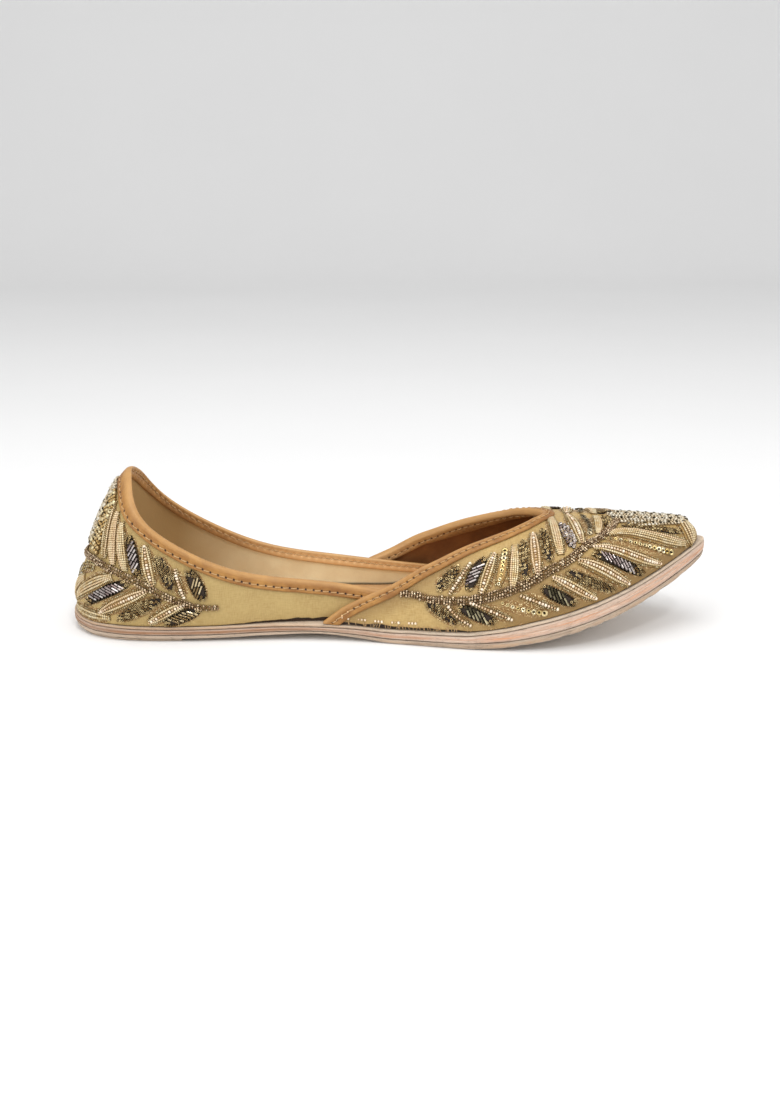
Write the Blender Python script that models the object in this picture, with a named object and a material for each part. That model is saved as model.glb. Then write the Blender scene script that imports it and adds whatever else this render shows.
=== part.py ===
"""A jutti: an embroidered South Asian slip-on flat, closed at heel and toe, made as separate leather pieces.

It is modelled in Blender with bmesh, one object for each piece that a maker cuts and sews.
+X runs from heel to toe, +Y to the far side and +Z up. The shoe stands on Z = 0, with the origin on the
floor under the middle of its length. Sizes below are millimetres; meshes are made in metres.
"""

import math

import bmesh
import bpy
import numpy as np

MM = 0.001

# ---------------------------------------------------------------------------------- driving sizes
LENGTH = 255.0  # the sole, heel to toe
GAP = 0.3  # left between two pieces that meet
SMALL = 1e-3  # a step for slopes
OUTLINE_SAMPLES = 600
SOLE_STATIONS = 46  # along each layer of the sole
STATION_CROWDING = 0.09  # of them towards the heel and the toe
LIFT_THICKNESS = 0.8
LIFT_FRONT = 47.0  # the heel lift ends here, straight across
SOCK_THICKNESS = 1.6
VAMP_WALL = 1.8
QUARTER_WALL = 1.6
BINDING_SKIN = 0.6  # the folded strip is this thick on each side of the edge
BINDING_DEPTH = 4.0  # and covers this much of the wall
LONGER_INSIDE = 4.5  # the vamp's strip runs this much further down inside, round the throat
LONGER_FROM = 45.0  # measured along the strip from a wing's end
UPPER_INSET = 1.0  # the upper's outer face stands this far inside the edge of the sole
SECTION_RADIUS = 30.0  # about the radius of the last's cross-sections under the throat
LAST_ROUNDNESS = 2.25  # 2 is an ellipse; more is a fuller, squarer section
THROAT_PLACES = 57  # along the vamp's edge, an odd number so that one is at the middle
TOE_STATIONS = 20  # from the throat to the tip of the toe
VAMP_LEVELS = 10  # points from the sole to the edge or the ridge
QUARTER_PLACES = 65  # ribs round the quarter
QUARTER_LEVELS = 9  # points up each rib
RIB_CROWDING = 0.4  # of the ribs towards the heel's back
WING_SLOPE = math.radians(45)  # of the vamp's edge where a wing meets the sole
TOE_CAP_LENGTH = 8.5  # the last closes over this much of its length
TOE_SETBACK = 2.0  # the upper stands this much further inside the edge of the sole at the tip
TOE_SETBACK_GIRTH = 15.0
RAND_ROUNDING = 1.9  # and the rand's upper edge this much


def table(columns, *rows):
    """A short table with named columns: {"x": array, ...}."""
    return dict(zip(columns.split(), np.array(rows, float).T, strict=True))


# Half of the sole's outline, from the middle of the heel to the tip of the toe.
OUTLINE = table(
    "x half_width",
    (0.0, 0.0),
    (2.3, 11.5),
    (9.0, 20.5),
    (22.0, 27.2),
    (42.0, 29.0),
    (70.0, 27.8),
    (98.0, 27.0),
    (128.0, 31.0),
    (152.0, 36.5),
    (176.0, 40.0),
    (198.0, 38.5),
    (219.0, 31.0),
    (238.0, 19.5),
    (250.0, 9.0),
    (LENGTH, 0.0),
)

# The sole from the side: how high its underside runs, and how thick each layer of leather is.
SOLE = table(
    "x underside outsole midsole rand",
    (0.0, 2.0, 1.6, 1.9, 0.9),
    (12.0, 1.1, 1.6, 1.9, 0.9),
    (LIFT_FRONT, 1.1, 1.5, 1.8, 0.9),
    (62.0, 1.3, 1.5, 1.8, 0.9),
    (80.0, 2.0, 1.4, 1.7, 0.9),
    (98.0, 2.7, 1.0, 1.4, 0.9),
    (114.0, 1.6, 1.3, 1.8, 0.9),
    (130.0, 0.0, 1.8, 2.3, 0.9),
    (155.0, 0.0, 2.1, 2.6, 1.0),
    (170.0, 1.0, 2.4, 3.4, 1.1),
    (185.0, 3.4, 2.6, 4.3, 1.1),
    (200.0, 6.8, 2.7, 4.6, 1.1),
    (215.0, 11.2, 2.7, 4.8, 1.1),
    (230.0, 16.8, 2.7, 4.8, 1.1),
    (245.0, 23.6, 2.4, 4.6, 1.1),
    (LENGTH, 28.2, 2.0, 3.8, 1.0),
)

# The ridge of the last, along the middle of the vamp and on under the open throat.
RIDGE = table(
    "x height",
    (95.0, 34.5),
    (120.0, 35.0),
    (142.0, 36.2),
    (162.0, 39.8),
    (180.0, 42.8),
    (191.0, 44.3),
    (202.0, 44.0),
    (222.0, 43.2),
    (240.0, 42.4),
    (LENGTH, 41.6),
)

# The vamp's finished edge, from the end of a wing at the sole to the middle of the throat. The angle
# is the place on the last's cross-section, 0 at the sole and 90 on the ridge.
THROAT = table(
    "x angle",
    (102.0, 1.0),
    (104.5, 5.5),
    (108.0, 11.5),
    (112.0, 17.0),
    (116.0, 21.5),
    (120.0, 25.5),
    (126.0, 31.0),
    (133.0, 38.0),
    (140.0, 45.5),
    (148.0, 52.5),
    (156.0, 58.5),
    (164.0, 63.0),
    (172.0, 67.5),
    (179.0, 72.5),
    (185.0, 80.0),
    (189.5, 90.0),
)

# How far the vamp's wall bends outwards at its finished edge.
FLARE = table("x reach", (112.0, 0.0), (128.0, 0.5), (142.0, 1.4), (178.0, 1.4), (190.0, 0.8), (203.0, 0.0))
FLARE_DEPTH = 10.0

# Ribs up the quarter, from the middle of the heel's back to its front end inside the vamp. Girth is the
# distance along the outline of the sole to the rib's foot, inset is how far in from that outline it
# stands, top_* is the finished edge of the collar, and belly is how far the wall swells out.
RIBS = table(
    "girth inset top_x top_y top_z belly",
    (0.0, 1.0, 24.8, 0.0, 63.7, 3.6),
    (9.0, 1.0, 25.6, 7.2, 61.9, 3.4),
    (18.0, 1.0, 26.8, 13.6, 58.4, 3.0),
    (27.0, 1.0, 28.3, 18.6, 54.4, 2.6),
    (36.0, 1.0, 31.0, 22.3, 50.2, 2.2),
    (46.0, 1.0, 36.0, 24.3, 45.0, 1.9),
    (58.0, 1.0, 44.5, 25.2, 39.0, 1.6),
    (71.0, 1.0, 56.5, 25.4, 32.6, 1.2),
    (86.0, 1.3, 71.0, 23.8, 27.2, 1.0),
    (103.0, 2.6, 87.5, 21.2, 24.0, 0.8),
    (119.0, 4.2, 104.0, 20.2, 22.1, 0.5),
    (135.0, 4.4, 120.0, 20.8, 19.9, 0.3),
    (150.0, 4.4, 134.0, 23.2, 17.6, 0.3),
    (164.0, 4.4, 147.0, 26.2, 15.4, 0.3),
)

# How far the edge of the sock stands inside the outline of the sole.
SOCK = table(
    "girth inset",
    (0.0, 3.3),
    (86.0, 3.6),
    (103.0, 5.0),
    (119.0, 6.7),
    (168.0, 6.7),
    (186.0, 3.8),
    (274.0, 3.8),
    (290.0, 6.1),
)


# ------------------------------------------------------------------------------- curves from rows
def spline(knots, values, at):
    """Cubic spline through a value or a row of values at each knot, read at some places."""
    knots, at = np.asarray(knots, float), np.atleast_1d(np.asarray(at, float))
    values = np.asarray(values, float).reshape(len(knots), -1)
    gap = np.diff(knots)
    slope = np.diff(values, axis=0) / gap[:, None]
    matrix, target = np.eye(len(knots)), np.zeros_like(values)
    for i in range(1, len(gap)):
        matrix[i, i - 1 : i + 2] = gap[i - 1], 2 * (gap[i - 1] + gap[i]), gap[i]
        target[i] = 6 * (slope[i] - slope[i - 1])
    bend = np.linalg.solve(matrix, target)
    k = np.clip(np.searchsorted(knots, at) - 1, 0, len(gap) - 1)
    width = gap[k][:, None]
    after, before = (at - knots[k])[:, None], (knots[k + 1] - at)[:, None]
    curved = (bend[k] * before**3 + bend[k + 1] * after**3) / (6 * width)
    left = (values[k] / width - bend[k] * width / 6) * before
    right = (values[k + 1] / width - bend[k + 1] * width / 6) * after
    return curved + left + right


def monotone(knots, values, at):
    """Cubic through the rows of a table that never swings past them, so flat stretches stay flat."""
    gap, slope = np.diff(knots), np.diff(values) / np.diff(knots)
    tangent = np.zeros(len(knots))
    tangent[0], tangent[-1] = slope[0], slope[-1]
    for i in range(1, len(gap)):
        if slope[i - 1] * slope[i] > 0:
            tangent[i] = 2 * slope[i - 1] * slope[i] / (slope[i - 1] + slope[i])
    at = np.asarray(at, float)
    k = np.clip(np.searchsorted(knots, at) - 1, 0, len(gap) - 1)
    u, h = (at - knots[k]) / gap[k], gap[k]
    start = (1 + 2 * u) * (1 - u) ** 2 * values[k] + u * (1 - u) ** 2 * h * tangent[k]
    end = u * u * (3 - 2 * u) * values[k + 1] + u * u * (u - 1) * h * tangent[k + 1]
    return start + end


def chords(points):
    """Distance along a run of points, at each of them."""
    return np.r_[0, np.cumsum(np.linalg.norm(np.diff(points, axis=0), axis=1))]


def mirrored_before(rows, flip):
    """The rows with their mirror images ahead of the first, so that a curve crosses it squarely."""
    return np.vstack([rows[:0:-1] * flip, rows])


def mirrored_after(rows, flip):
    """The rows with their mirror images behind the last."""
    return np.vstack([rows, rows[-2::-1] * flip])


# -------------------------------------------------------------------------------- outline and sole
def outline_curve():
    """The half outline as close points, their outward normals and their distance from the heel."""
    rows = np.column_stack([OUTLINE["x"], OUTLINE["half_width"]])
    flip = np.array([1, -1])
    closed = mirrored_after(mirrored_before(rows, flip), flip)
    knots = chords(closed)
    heel, toe = len(rows) - 1, 2 * len(rows) - 2
    points = spline(knots, closed, np.linspace(knots[heel], knots[toe], OUTLINE_SAMPLES))
    along = np.gradient(points, axis=0)
    along /= np.linalg.norm(along, axis=1)[:, None]
    return points, np.column_stack([-along[:, 1], along[:, 0]]), chords(points)


OUTLINE_POINTS, OUTLINE_NORMALS, OUTLINE_GIRTH = outline_curve()
HALF_GIRTH = OUTLINE_GIRTH[-1]


def edge_at(girth, inset):
    """x and half-width of the outline at a distance along it from the heel, moved inwards by inset."""
    point = [np.interp(girth, OUTLINE_GIRTH, OUTLINE_POINTS[:, i]) for i in (0, 1)]
    normal = [np.interp(girth, OUTLINE_GIRTH, OUTLINE_NORMALS[:, i]) for i in (0, 1)]
    return point[0] - inset * normal[0], np.maximum(point[1] - inset * normal[1], 0)


def girth_at(x):
    """Distance along the outline at a distance from the heel."""
    return np.interp(x, OUTLINE_POINTS[:, 0], OUTLINE_GIRTH)


def sole(column, x):
    """A column of SOLE at some places."""
    return monotone(SOLE["x"], SOLE[column], x)


def outsole_base(x):
    return sole("underside", x)


def outsole_eased(x):
    """Where the rounding of the outsole's lower edge ends."""
    return outsole_base(x) + 0.5


def outsole_top(x):
    return outsole_base(x) + sole("outsole", x)


def lift_top(x):
    return outsole_base(x) - GAP


def lift_base(x):
    return lift_top(x) - LIFT_THICKNESS


def midsole_base(x):
    return outsole_top(x) + GAP


def midsole_top(x):
    return midsole_base(x) + sole("midsole", x)


def midsole_middle(x):
    return (midsole_base(x) + midsole_top(x)) / 2


def rand_base(x):
    return midsole_top(x) + GAP


def sole_top(x):
    """Height of the face that the upper stands on."""
    return rand_base(x) + sole("rand", x)


def upper_foot(x):
    """Height of the lower edge of the upper and of the sock."""
    return sole_top(x) + GAP


def sock_top(x):
    return upper_foot(x) + SOCK_THICKNESS


def sock_inset(girth):
    return np.interp(girth, SOCK["girth"], SOCK["inset"])


# ------------------------------------------------------------------------------------- vamp surface
def section(angle):
    """Point of a unit superellipse in a direction: 0 is out at the sole, 90 degrees up on the ridge."""
    c, s = np.cos(angle), np.sin(angle)
    reach = (np.abs(c) ** LAST_ROUNDNESS + np.abs(s) ** LAST_ROUNDNESS) ** (-1 / LAST_ROUNDNESS)
    return c * reach, s * reach


def near_tip(girth):
    """0 along the shoe, rising smoothly to 1 at the tip of the toe."""
    share = np.clip((girth - HALF_GIRTH + TOE_SETBACK_GIRTH) / TOE_SETBACK_GIRTH, 0, 1)
    return share**2 * (3 - 2 * share)


def vamp_inset(girth):
    return UPPER_INSET + TOE_SETBACK * near_tip(girth)


def rand_inset(girth):
    return 0.25 + RAND_ROUNDING * near_tip(girth)


def flare(x, angle):
    """How far the wall bends outwards near its finished edge and just ahead of the throat."""
    edge = np.radians(np.interp(x, THROAT["x"], THROAT["angle"]))
    below = (edge - np.minimum(angle, math.pi - angle)) * SECTION_RADIUS
    below = below + np.maximum(x - THROAT["x"][-1], 0)
    near = np.clip(1 - below / FLARE_DEPTH, 0, 1)
    return monotone(FLARE["x"], FLARE["reach"], x) * near**2


def vamp_surface(girth, angle, grow):
    """Point on the vamp's wall; grow is 0 on its outer face, negative inside and positive outside.
    Angles past 90 degrees are on the far side."""
    grow = grow + flare(edge_at(girth, UPPER_INSET)[0], angle)
    x, half = edge_at(girth, vamp_inset(girth) - grow)
    foot = upper_foot(x)
    tip = edge_at(HALF_GIRTH, vamp_inset(HALF_GIRTH) - grow)[0]
    into_cap = np.clip((x - tip + TOE_CAP_LENGTH) / TOE_CAP_LENGTH, 0, 1)
    rise = monotone(RIDGE["x"], RIDGE["height"], x) + grow - foot
    rise = rise * np.sqrt(1 - into_cap**2.8)
    across, up = section(angle)
    return np.stack(np.broadcast_arrays(x, -half * across, foot + rise * up), -1)


def throat_edge():
    """Girth and angle along the whole finished edge, from the near wing's end to the far wing's end."""
    rows = np.column_stack([girth_at(THROAT["x"]), np.radians(THROAT["angle"])])
    far_side = rows[-2::-1] * np.array([1, -1]) + np.array([0, math.pi])
    whole = np.vstack([rows, far_side])
    pace = chords(whole * np.array([1, SECTION_RADIUS]))
    return spline(pace, whole, np.linspace(0, pace[-1], THROAT_PLACES)).T


def step_on_vamp(girth, angle, direction, distance):
    """The place on the vamp's outer face that lies a distance away along a direction in space."""
    here = vamp_surface(girth, angle, 0.0)
    by_girth = (vamp_surface(girth + SMALL, angle, 0.0) - here) / SMALL
    by_angle = (vamp_surface(girth, angle + SMALL, 0.0) - here) / SMALL
    slopes = np.stack([by_girth, by_angle], -1)
    move = np.stack([np.linalg.lstsq(m, d, rcond=None)[0] for m, d in zip(slopes, direction)])
    return girth + move[:, 0] * distance, np.clip(angle + move[:, 1] * distance, 0, math.pi)


def down_the_vamp(girth, angle):
    """Direction on the vamp's outer face square to its edge, away from the opening."""
    edge = vamp_surface(girth, angle, 0.0)
    by_girth = vamp_surface(girth + SMALL, angle, 0.0) - edge
    by_angle = vamp_surface(girth, angle - SMALL, 0.0) - edge
    down = np.cross(np.cross(by_girth, by_angle), np.gradient(edge, axis=0))
    return down / np.linalg.norm(down, axis=1)[:, None]


def throat_cut():
    """Girth and angle along the wall's own edge, which the binding's fold stands beyond."""
    girth, angle = throat_edge()
    return step_on_vamp(girth, angle, down_the_vamp(girth, angle), GAP + BINDING_SKIN)


# ---------------------------------------------------------------------------------- quarter surface
def ribs_curve():
    """The rows of RIBS read smoothly at many ribs, from the near front end round the heel to the far.
    The ribs stand closer together round the tight turn at the heel's back."""
    names = list(RIBS)
    rows = np.column_stack([RIBS[name] for name in names])
    flip = np.array([-1 if name in ("girth", "top_y") else 1 for name in names])
    whole = mirrored_before(rows, flip)
    even = np.linspace(-1, 1, QUARTER_PLACES)
    crowded = (1 - RIB_CROWDING) * even + RIB_CROWDING * even**3
    return dict(zip(names, spline(whole[:, 0], whole, whole[-1, 0] * crowded).T, strict=True))


def quarter_surface(ribs, rise, grow):
    """Point up each rib; rise is 0 at the sole and 1 at the wall's cut edge, grow as for the vamp."""
    side = np.sign(ribs["girth"])
    foot_x, foot_y = edge_at(np.abs(ribs["girth"]), ribs["inset"] - grow)
    foot = np.stack([foot_x, side * foot_y, upper_foot(foot_x)], -1)
    top = np.stack([ribs["top_x"], ribs["top_y"], ribs["top_z"]], -1)
    out = np.cross((0, 0, 1), np.gradient(top, axis=0) * (1, 1, 0))
    out /= np.linalg.norm(out, axis=1)[:, None]
    up = (top - foot) / np.linalg.norm(top - foot, axis=1)[:, None]
    cut = top - up * (GAP + BINDING_SKIN) + out * (grow + QUARTER_WALL / 2)
    rise = np.broadcast_to(rise, len(side))[:, None]
    swell = (1 - np.abs(2 * rise - 1) ** 3) * ribs["belly"][:, None]
    return foot + (cut - foot) * rise + out * swell


def rib_height(ribs):
    """Length of each rib from its foot to the wall's cut edge."""
    return np.linalg.norm(quarter_surface(ribs, 1.0, 0.0) - quarter_surface(ribs, 0.0, 0.0), axis=1)


# --------------------------------------------------------------------------------- solids from grids
def add_object(name, bm, material):
    """Closes off a mesh made in millimetres as an object in metres, with the origin under its middle."""
    bmesh.ops.remove_doubles(bm, verts=bm.verts, dist=1e-4)
    bmesh.ops.dissolve_degenerate(bm, edges=bm.edges, dist=1e-4)
    bmesh.ops.recalc_face_normals(bm, faces=bm.faces)
    if bm.calc_volume(signed=True) < 0:
        bmesh.ops.reverse_faces(bm, faces=bm.faces)
    for vertex in bm.verts:
        vertex.co = (vertex.co.x - LENGTH / 2) * MM, vertex.co.y * MM, vertex.co.z * MM
    mesh = bpy.data.meshes.new(name)
    bm.to_mesh(mesh)
    bm.free()
    mesh.shade_smooth()
    mesh.set_sharp_from_angle(angle=math.radians(40))
    mesh.materials.append(material)
    placed = bpy.data.objects.new(name, mesh)
    bpy.context.scene.collection.objects.link(placed)
    return placed


def add_grid(bm, points):
    """Vertices for a grid of points."""
    return [[bm.verts.new(p) for p in row] for row in points]


def skin(bm, grid, closed=False):
    """Quads over a grid of vertices; closed joins each row's last vertex to its first."""
    for row, following in zip(grid, grid[1:]):
        columns = len(row) if closed else len(row) - 1
        for j in range(columns):
            k = (j + 1) % len(row)
            bm.faces.new((row[j], row[k], following[k], following[j]))


def slab(name, rings, last_girth, material):
    """A layer of the sole. Each ring is (inset, height of x), from the bottom face to the top one. The
    stations stand closer together round the heel and the toe."""
    even = np.linspace(0, 1, SOLE_STATIONS)
    girths = last_girth * (even - STATION_CROWDING * np.sin(2 * math.pi * even))
    bm = bmesh.new()
    loops = []
    for inset, height in rings:
        x, half = edge_at(girths, inset(girths) if callable(inset) else inset)
        near = np.column_stack([x, -half, height(x)])
        loops.append(np.vstack([near, near[::-1] * [1, -1, 1]]))
    grid = add_grid(bm, loops)
    skin(bm, grid, closed=True)
    for loop in (grid[0], grid[-1]):
        for i in range(SOLE_STATIONS - 1):
            bm.faces.new((loop[i], loop[i + 1], loop[-2 - i], loop[-1 - i]))
    return add_object(name, bm, material)


def bent_sheet(name, outer, inner, material):
    """A closed wall between an outer and an inner grid of points."""
    bm = bmesh.new()
    faces = [add_grid(bm, side) for side in (outer, inner)]
    for side in faces:
        skin(bm, side)
    for edge in (0, -1):
        skin(bm, [side[edge] for side in faces])
        skin(bm, [[row[edge] for row in side] for side in faces])
    return add_object(name, bm, material)


def folded_strip(name, places, material):
    """A binding: its closed profile at each place along an edge, capped at both ends."""
    bm = bmesh.new()
    grid = add_grid(bm, places)
    skin(bm, grid, closed=True)
    for profile in (grid[0], grid[-1]):
        bm.faces.new(profile)
    return add_object(name, bm, material)


def binding_profile(wall, halfway=()):
    """(down from the wall's cut edge, outwards from its outer face) round a folded strip: out over the
    edge and down the inside, by a depth on the way if it has one, then back along the faces that hug the
    wall."""
    near, far = GAP, GAP + BINDING_SKIN
    outside = [(BINDING_DEPTH, far), (0.1, far), (-0.7 * far, 0.5 * far), (-far, -0.25 * wall)]
    outside += [(-far, -0.75 * wall), (-0.7 * far, -wall - 0.5 * far), (0.1, -wall - far)]
    outside += [(depth, -wall - far) for depth in halfway]
    outside += [(BINDING_DEPTH, -wall - far), (BINDING_DEPTH, -wall - near)]
    outside += [(depth, -wall - near) for depth in halfway]
    return outside + [(-near, -wall - near), (-near, near), (BINDING_DEPTH, near)]


# --------------------------------------------------------------------------------------- the pieces
def build_sole(leather):
    """Outsole, midsole and rand in a stack, with a thin lift under the heel. Each layer's edge is eased
    a little, which the insets state from its bottom face to its top one."""
    worn = [(1.4, outsole_base), (0.5, outsole_eased), (0.2, outsole_top)]
    slab("outsole", worn, HALF_GIRTH, leather["pale"])
    round_edge = [(0.2, midsole_base), (0.0, midsole_middle), (0.15, midsole_top)]
    slab("midsole", round_edge, HALF_GIRTH, leather["tan"])
    slab("rand", [(0.1, rand_base), (rand_inset, sole_top)], HALF_GIRTH, leather["pale"])
    slab("heel_lift", [(2.2, lift_base), (1.6, lift_top)], girth_at(LIFT_FRONT), leather["pale"])


def build_insole(leather):
    """The sock that the foot stands on, inside the walls of the upper."""
    slab("insole", [(sock_inset, upper_foot), (sock_inset, sock_top)], HALF_GIRTH, leather["lining"])


def vamp_grid(girths, angles, grow):
    """A row of points at each girth, from the sole up to an angle."""
    shares = np.linspace(0, 1, VAMP_LEVELS)
    return np.array([vamp_surface(girth, angle * shares, grow) for girth, angle in zip(girths, angles)])


def build_vamp(leather):
    """The front of the upper: two wings that meet over the instep and close over the toes."""
    middle = THROAT_PLACES // 2
    girth, angle = throat_cut()
    toe = girth[middle] + (HALF_GIRTH - girth[middle]) * np.linspace(0, 1, TOE_STATIONS + 1) ** 0.9
    girths = np.r_[girth[:middle], toe]
    angles = np.r_[angle[:middle], np.full(TOE_STATIONS + 1, math.pi / 2)]
    bm = bmesh.new()
    for side in (1, -1):
        faces = [vamp_grid(girths, angles, grow) * [1, side, 1] for grow in (0, -VAMP_WALL)]
        walls = [add_grid(bm, points) for points in faces]
        for wall in walls:
            skin(bm, wall)
        skin(bm, [wall[0] for wall in walls])
        skin(bm, [[row[0] for row in wall] for wall in walls])
        skin(bm, [[row[-1] for row in wall[: middle + 1]] for wall in walls])
    return add_object("vamp", bm, leather["cloth"])


def build_vamp_binding(leather):
    """The folded strip over the vamp's cut edge, from wing to wing round the throat. Near a wing's end
    its width turns to lie along the sole, so that the strip is cut level."""
    girth, angle = throat_cut()
    cut = vamp_surface(girth, angle, 0.0)
    down = down_the_vamp(girth, angle)
    from_end = np.minimum(chords(cut), chords(cut[::-1])[::-1])
    level = np.clip(1 - from_end / BINDING_DEPTH * math.tan(WING_SLOPE), 0, 1)[:, None]
    turned = down * (1 - level) + level * (1 / math.sin(WING_SLOPE), 0, 0)
    longer = LONGER_INSIDE * np.clip((from_end - LONGER_FROM) / 20, 0, 1)
    rounds = []
    for depth, grow in binding_profile(VAMP_WALL, (BINDING_DEPTH / 2,)):
        if depth > 1 and grow < 0:
            depth = depth + longer * depth / BINDING_DEPTH
        place = step_on_vamp(girth, angle, turned if np.min(depth) > 0 else down, depth)
        rounds.append(vamp_surface(*place, grow))
    return folded_strip("vamp_binding", np.stack(rounds, 1), leather["tan"])


def build_quarter(leather):
    """The back of the upper in one piece, from inside one wing round the heel to inside the other."""
    ribs = ribs_curve()
    under_binding = 1 - BINDING_DEPTH / rib_height(ribs)
    rises = [under_binding * step for step in np.linspace(0, 1, QUARTER_LEVELS - 1)] + [1.0]
    outer, inner = (
        np.stack([quarter_surface(ribs, rise, grow) for rise in rises], 1) for grow in (0, -QUARTER_WALL)
    )
    return bent_sheet("quarter", outer, inner, leather["cloth"])


def build_collar_binding(leather):
    """The folded strip over the quarter's cut edge."""
    ribs = ribs_curve()
    rises = [(1 - depth / rib_height(ribs), grow) for depth, grow in binding_profile(QUARTER_WALL)]
    rounds = [quarter_surface(ribs, rise, grow) for rise, grow in rises]
    return folded_strip("collar_binding", np.stack(rounds, 1), leather["tan"])


def leather_materials():
    """A plain finish for each kind of leather or cloth."""
    finishes = {
        "pale": ((0.50, 0.44, 0.38, 1), 0.75),
        "tan": ((0.46, 0.25, 0.11, 1), 0.55),
        "lining": ((0.55, 0.40, 0.22, 1), 0.6),
        "cloth": ((0.48, 0.36, 0.14, 1), 0.5),
    }
    made = {}
    for name, (colour, roughness) in finishes.items():
        made[name] = bpy.data.materials.new(name)
        made[name].use_nodes = True
        shader = made[name].node_tree.nodes["Principled BSDF"]
        shader.inputs["Base Color"].default_value = colour
        shader.inputs["Roughness"].default_value = roughness
        shader.inputs["Metallic"].default_value = 0.0
    return made


def main():
    for placed in list(bpy.data.objects):
        bpy.data.objects.remove(placed)
    leather = leather_materials()
    build_sole(leather)
    build_insole(leather)
    build_vamp(leather)
    build_vamp_binding(leather)
    build_quarter(leather)
    build_collar_binding(leather)


if __name__ == "__main__":
    main()
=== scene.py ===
"""The looks of an embroidered jutti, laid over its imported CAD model.

The sections follow the shoe as it is put together, from the sole up. Sizes are millimetres, with x measured
from the back of the heel as a maker does, and they become metres when a mesh is made: +X points to the
toe, +Y to the far side and +Z up.
"""

import math

import bmesh
import bpy
import numpy as np
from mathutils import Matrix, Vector


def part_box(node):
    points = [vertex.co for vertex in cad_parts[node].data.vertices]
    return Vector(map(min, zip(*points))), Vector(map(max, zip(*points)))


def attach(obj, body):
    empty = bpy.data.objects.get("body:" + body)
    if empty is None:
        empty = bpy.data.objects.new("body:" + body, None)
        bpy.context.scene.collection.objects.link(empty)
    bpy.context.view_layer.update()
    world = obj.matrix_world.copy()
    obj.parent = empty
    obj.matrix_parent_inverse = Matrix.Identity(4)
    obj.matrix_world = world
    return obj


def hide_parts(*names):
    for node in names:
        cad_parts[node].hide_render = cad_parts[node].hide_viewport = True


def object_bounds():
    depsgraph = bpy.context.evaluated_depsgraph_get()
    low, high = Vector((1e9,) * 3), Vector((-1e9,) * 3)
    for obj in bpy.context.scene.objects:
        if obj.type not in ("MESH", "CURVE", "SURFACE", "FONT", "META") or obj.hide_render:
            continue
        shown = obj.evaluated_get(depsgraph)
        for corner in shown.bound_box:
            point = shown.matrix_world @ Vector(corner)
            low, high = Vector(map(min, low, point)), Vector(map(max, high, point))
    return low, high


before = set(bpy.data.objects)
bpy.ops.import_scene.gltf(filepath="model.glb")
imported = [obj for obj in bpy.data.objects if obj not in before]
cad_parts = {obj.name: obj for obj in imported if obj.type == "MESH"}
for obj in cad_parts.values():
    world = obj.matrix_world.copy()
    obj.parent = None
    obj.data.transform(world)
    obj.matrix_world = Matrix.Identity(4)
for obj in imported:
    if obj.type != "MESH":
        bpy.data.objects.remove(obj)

cad_low, cad_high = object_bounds()

# ------------------------ outsole and heel lift
# The outsole is one piece of thick tanned leather, cut to the outline of the last, with a thin lift of
# the same leather glued under the heel. Its cut edge is left raw, so the fibres show in streaks.

MM = 0.001
LENGTH = (cad_high.x - cad_low.x) / MM
GAP = 0.3  # left between two pieces that meet
LIFT_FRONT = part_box("heel_lift")[1].x / MM + LENGTH / 2
LIFT_THICKNESS = 0.8
OUTLINE_SAMPLES = 900
SOLE_STATIONS = 170  # along each layer's edge, on one side
TIP_GIRTH = 15.0  # the tip of the toe is this much of the outline on each side
HEEL_AND_TOE_FADE = 12.0  # the edges run even over this much of the outline at its two ends
FACE_SHARES = (0.97, 0.85, 0.6, 0.3, 0.0)  # lines across a layer's faces, from its edge to the middle


def table(columns, *rows):
    """A short table with named columns: {"x": array, ...}."""
    return dict(zip(columns.split(), np.array(rows, float).T, strict=True))


# Half of the sole's outline, from the middle of the heel to the tip of the toe.
OUTLINE = table(
    "x half_width",
    (0.0, 0.0),
    (2.3, 11.5),
    (9.0, 20.5),
    (22.0, 27.2),
    (42.0, 29.0),
    (70.0, 27.8),
    (98.0, 27.0),
    (128.0, 31.0),
    (152.0, 36.5),
    (176.0, 40.0),
    (198.0, 38.5),
    (219.0, 31.0),
    (238.0, 19.5),
    (250.0, 9.0),
    (LENGTH, 0.0),
)

# The sole from the side: how high its underside runs, and how thick each layer of leather is.
SOLE = table(
    "x underside outsole midsole rand",
    (0.0, 2.0, 1.6, 1.9, 0.9),
    (12.0, 1.1, 1.6, 1.9, 0.9),
    (LIFT_FRONT, 1.1, 1.5, 1.8, 0.9),
    (62.0, 1.3, 1.5, 1.8, 0.9),
    (80.0, 2.0, 1.4, 1.7, 0.9),
    (98.0, 2.7, 1.0, 1.4, 0.9),
    (114.0, 1.6, 1.3, 1.8, 0.9),
    (130.0, 0.0, 1.8, 2.3, 0.9),
    (155.0, 0.0, 2.1, 2.6, 1.0),
    (170.0, 1.0, 2.4, 3.4, 1.1),
    (185.0, 3.4, 2.6, 4.3, 1.1),
    (200.0, 6.8, 2.7, 4.6, 1.1),
    (215.0, 11.2, 2.7, 4.8, 1.1),
    (230.0, 16.8, 2.7, 4.8, 1.1),
    (245.0, 23.6, 2.4, 4.6, 1.1),
    (LENGTH, 28.2, 2.0, 3.8, 1.0),
)


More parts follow.
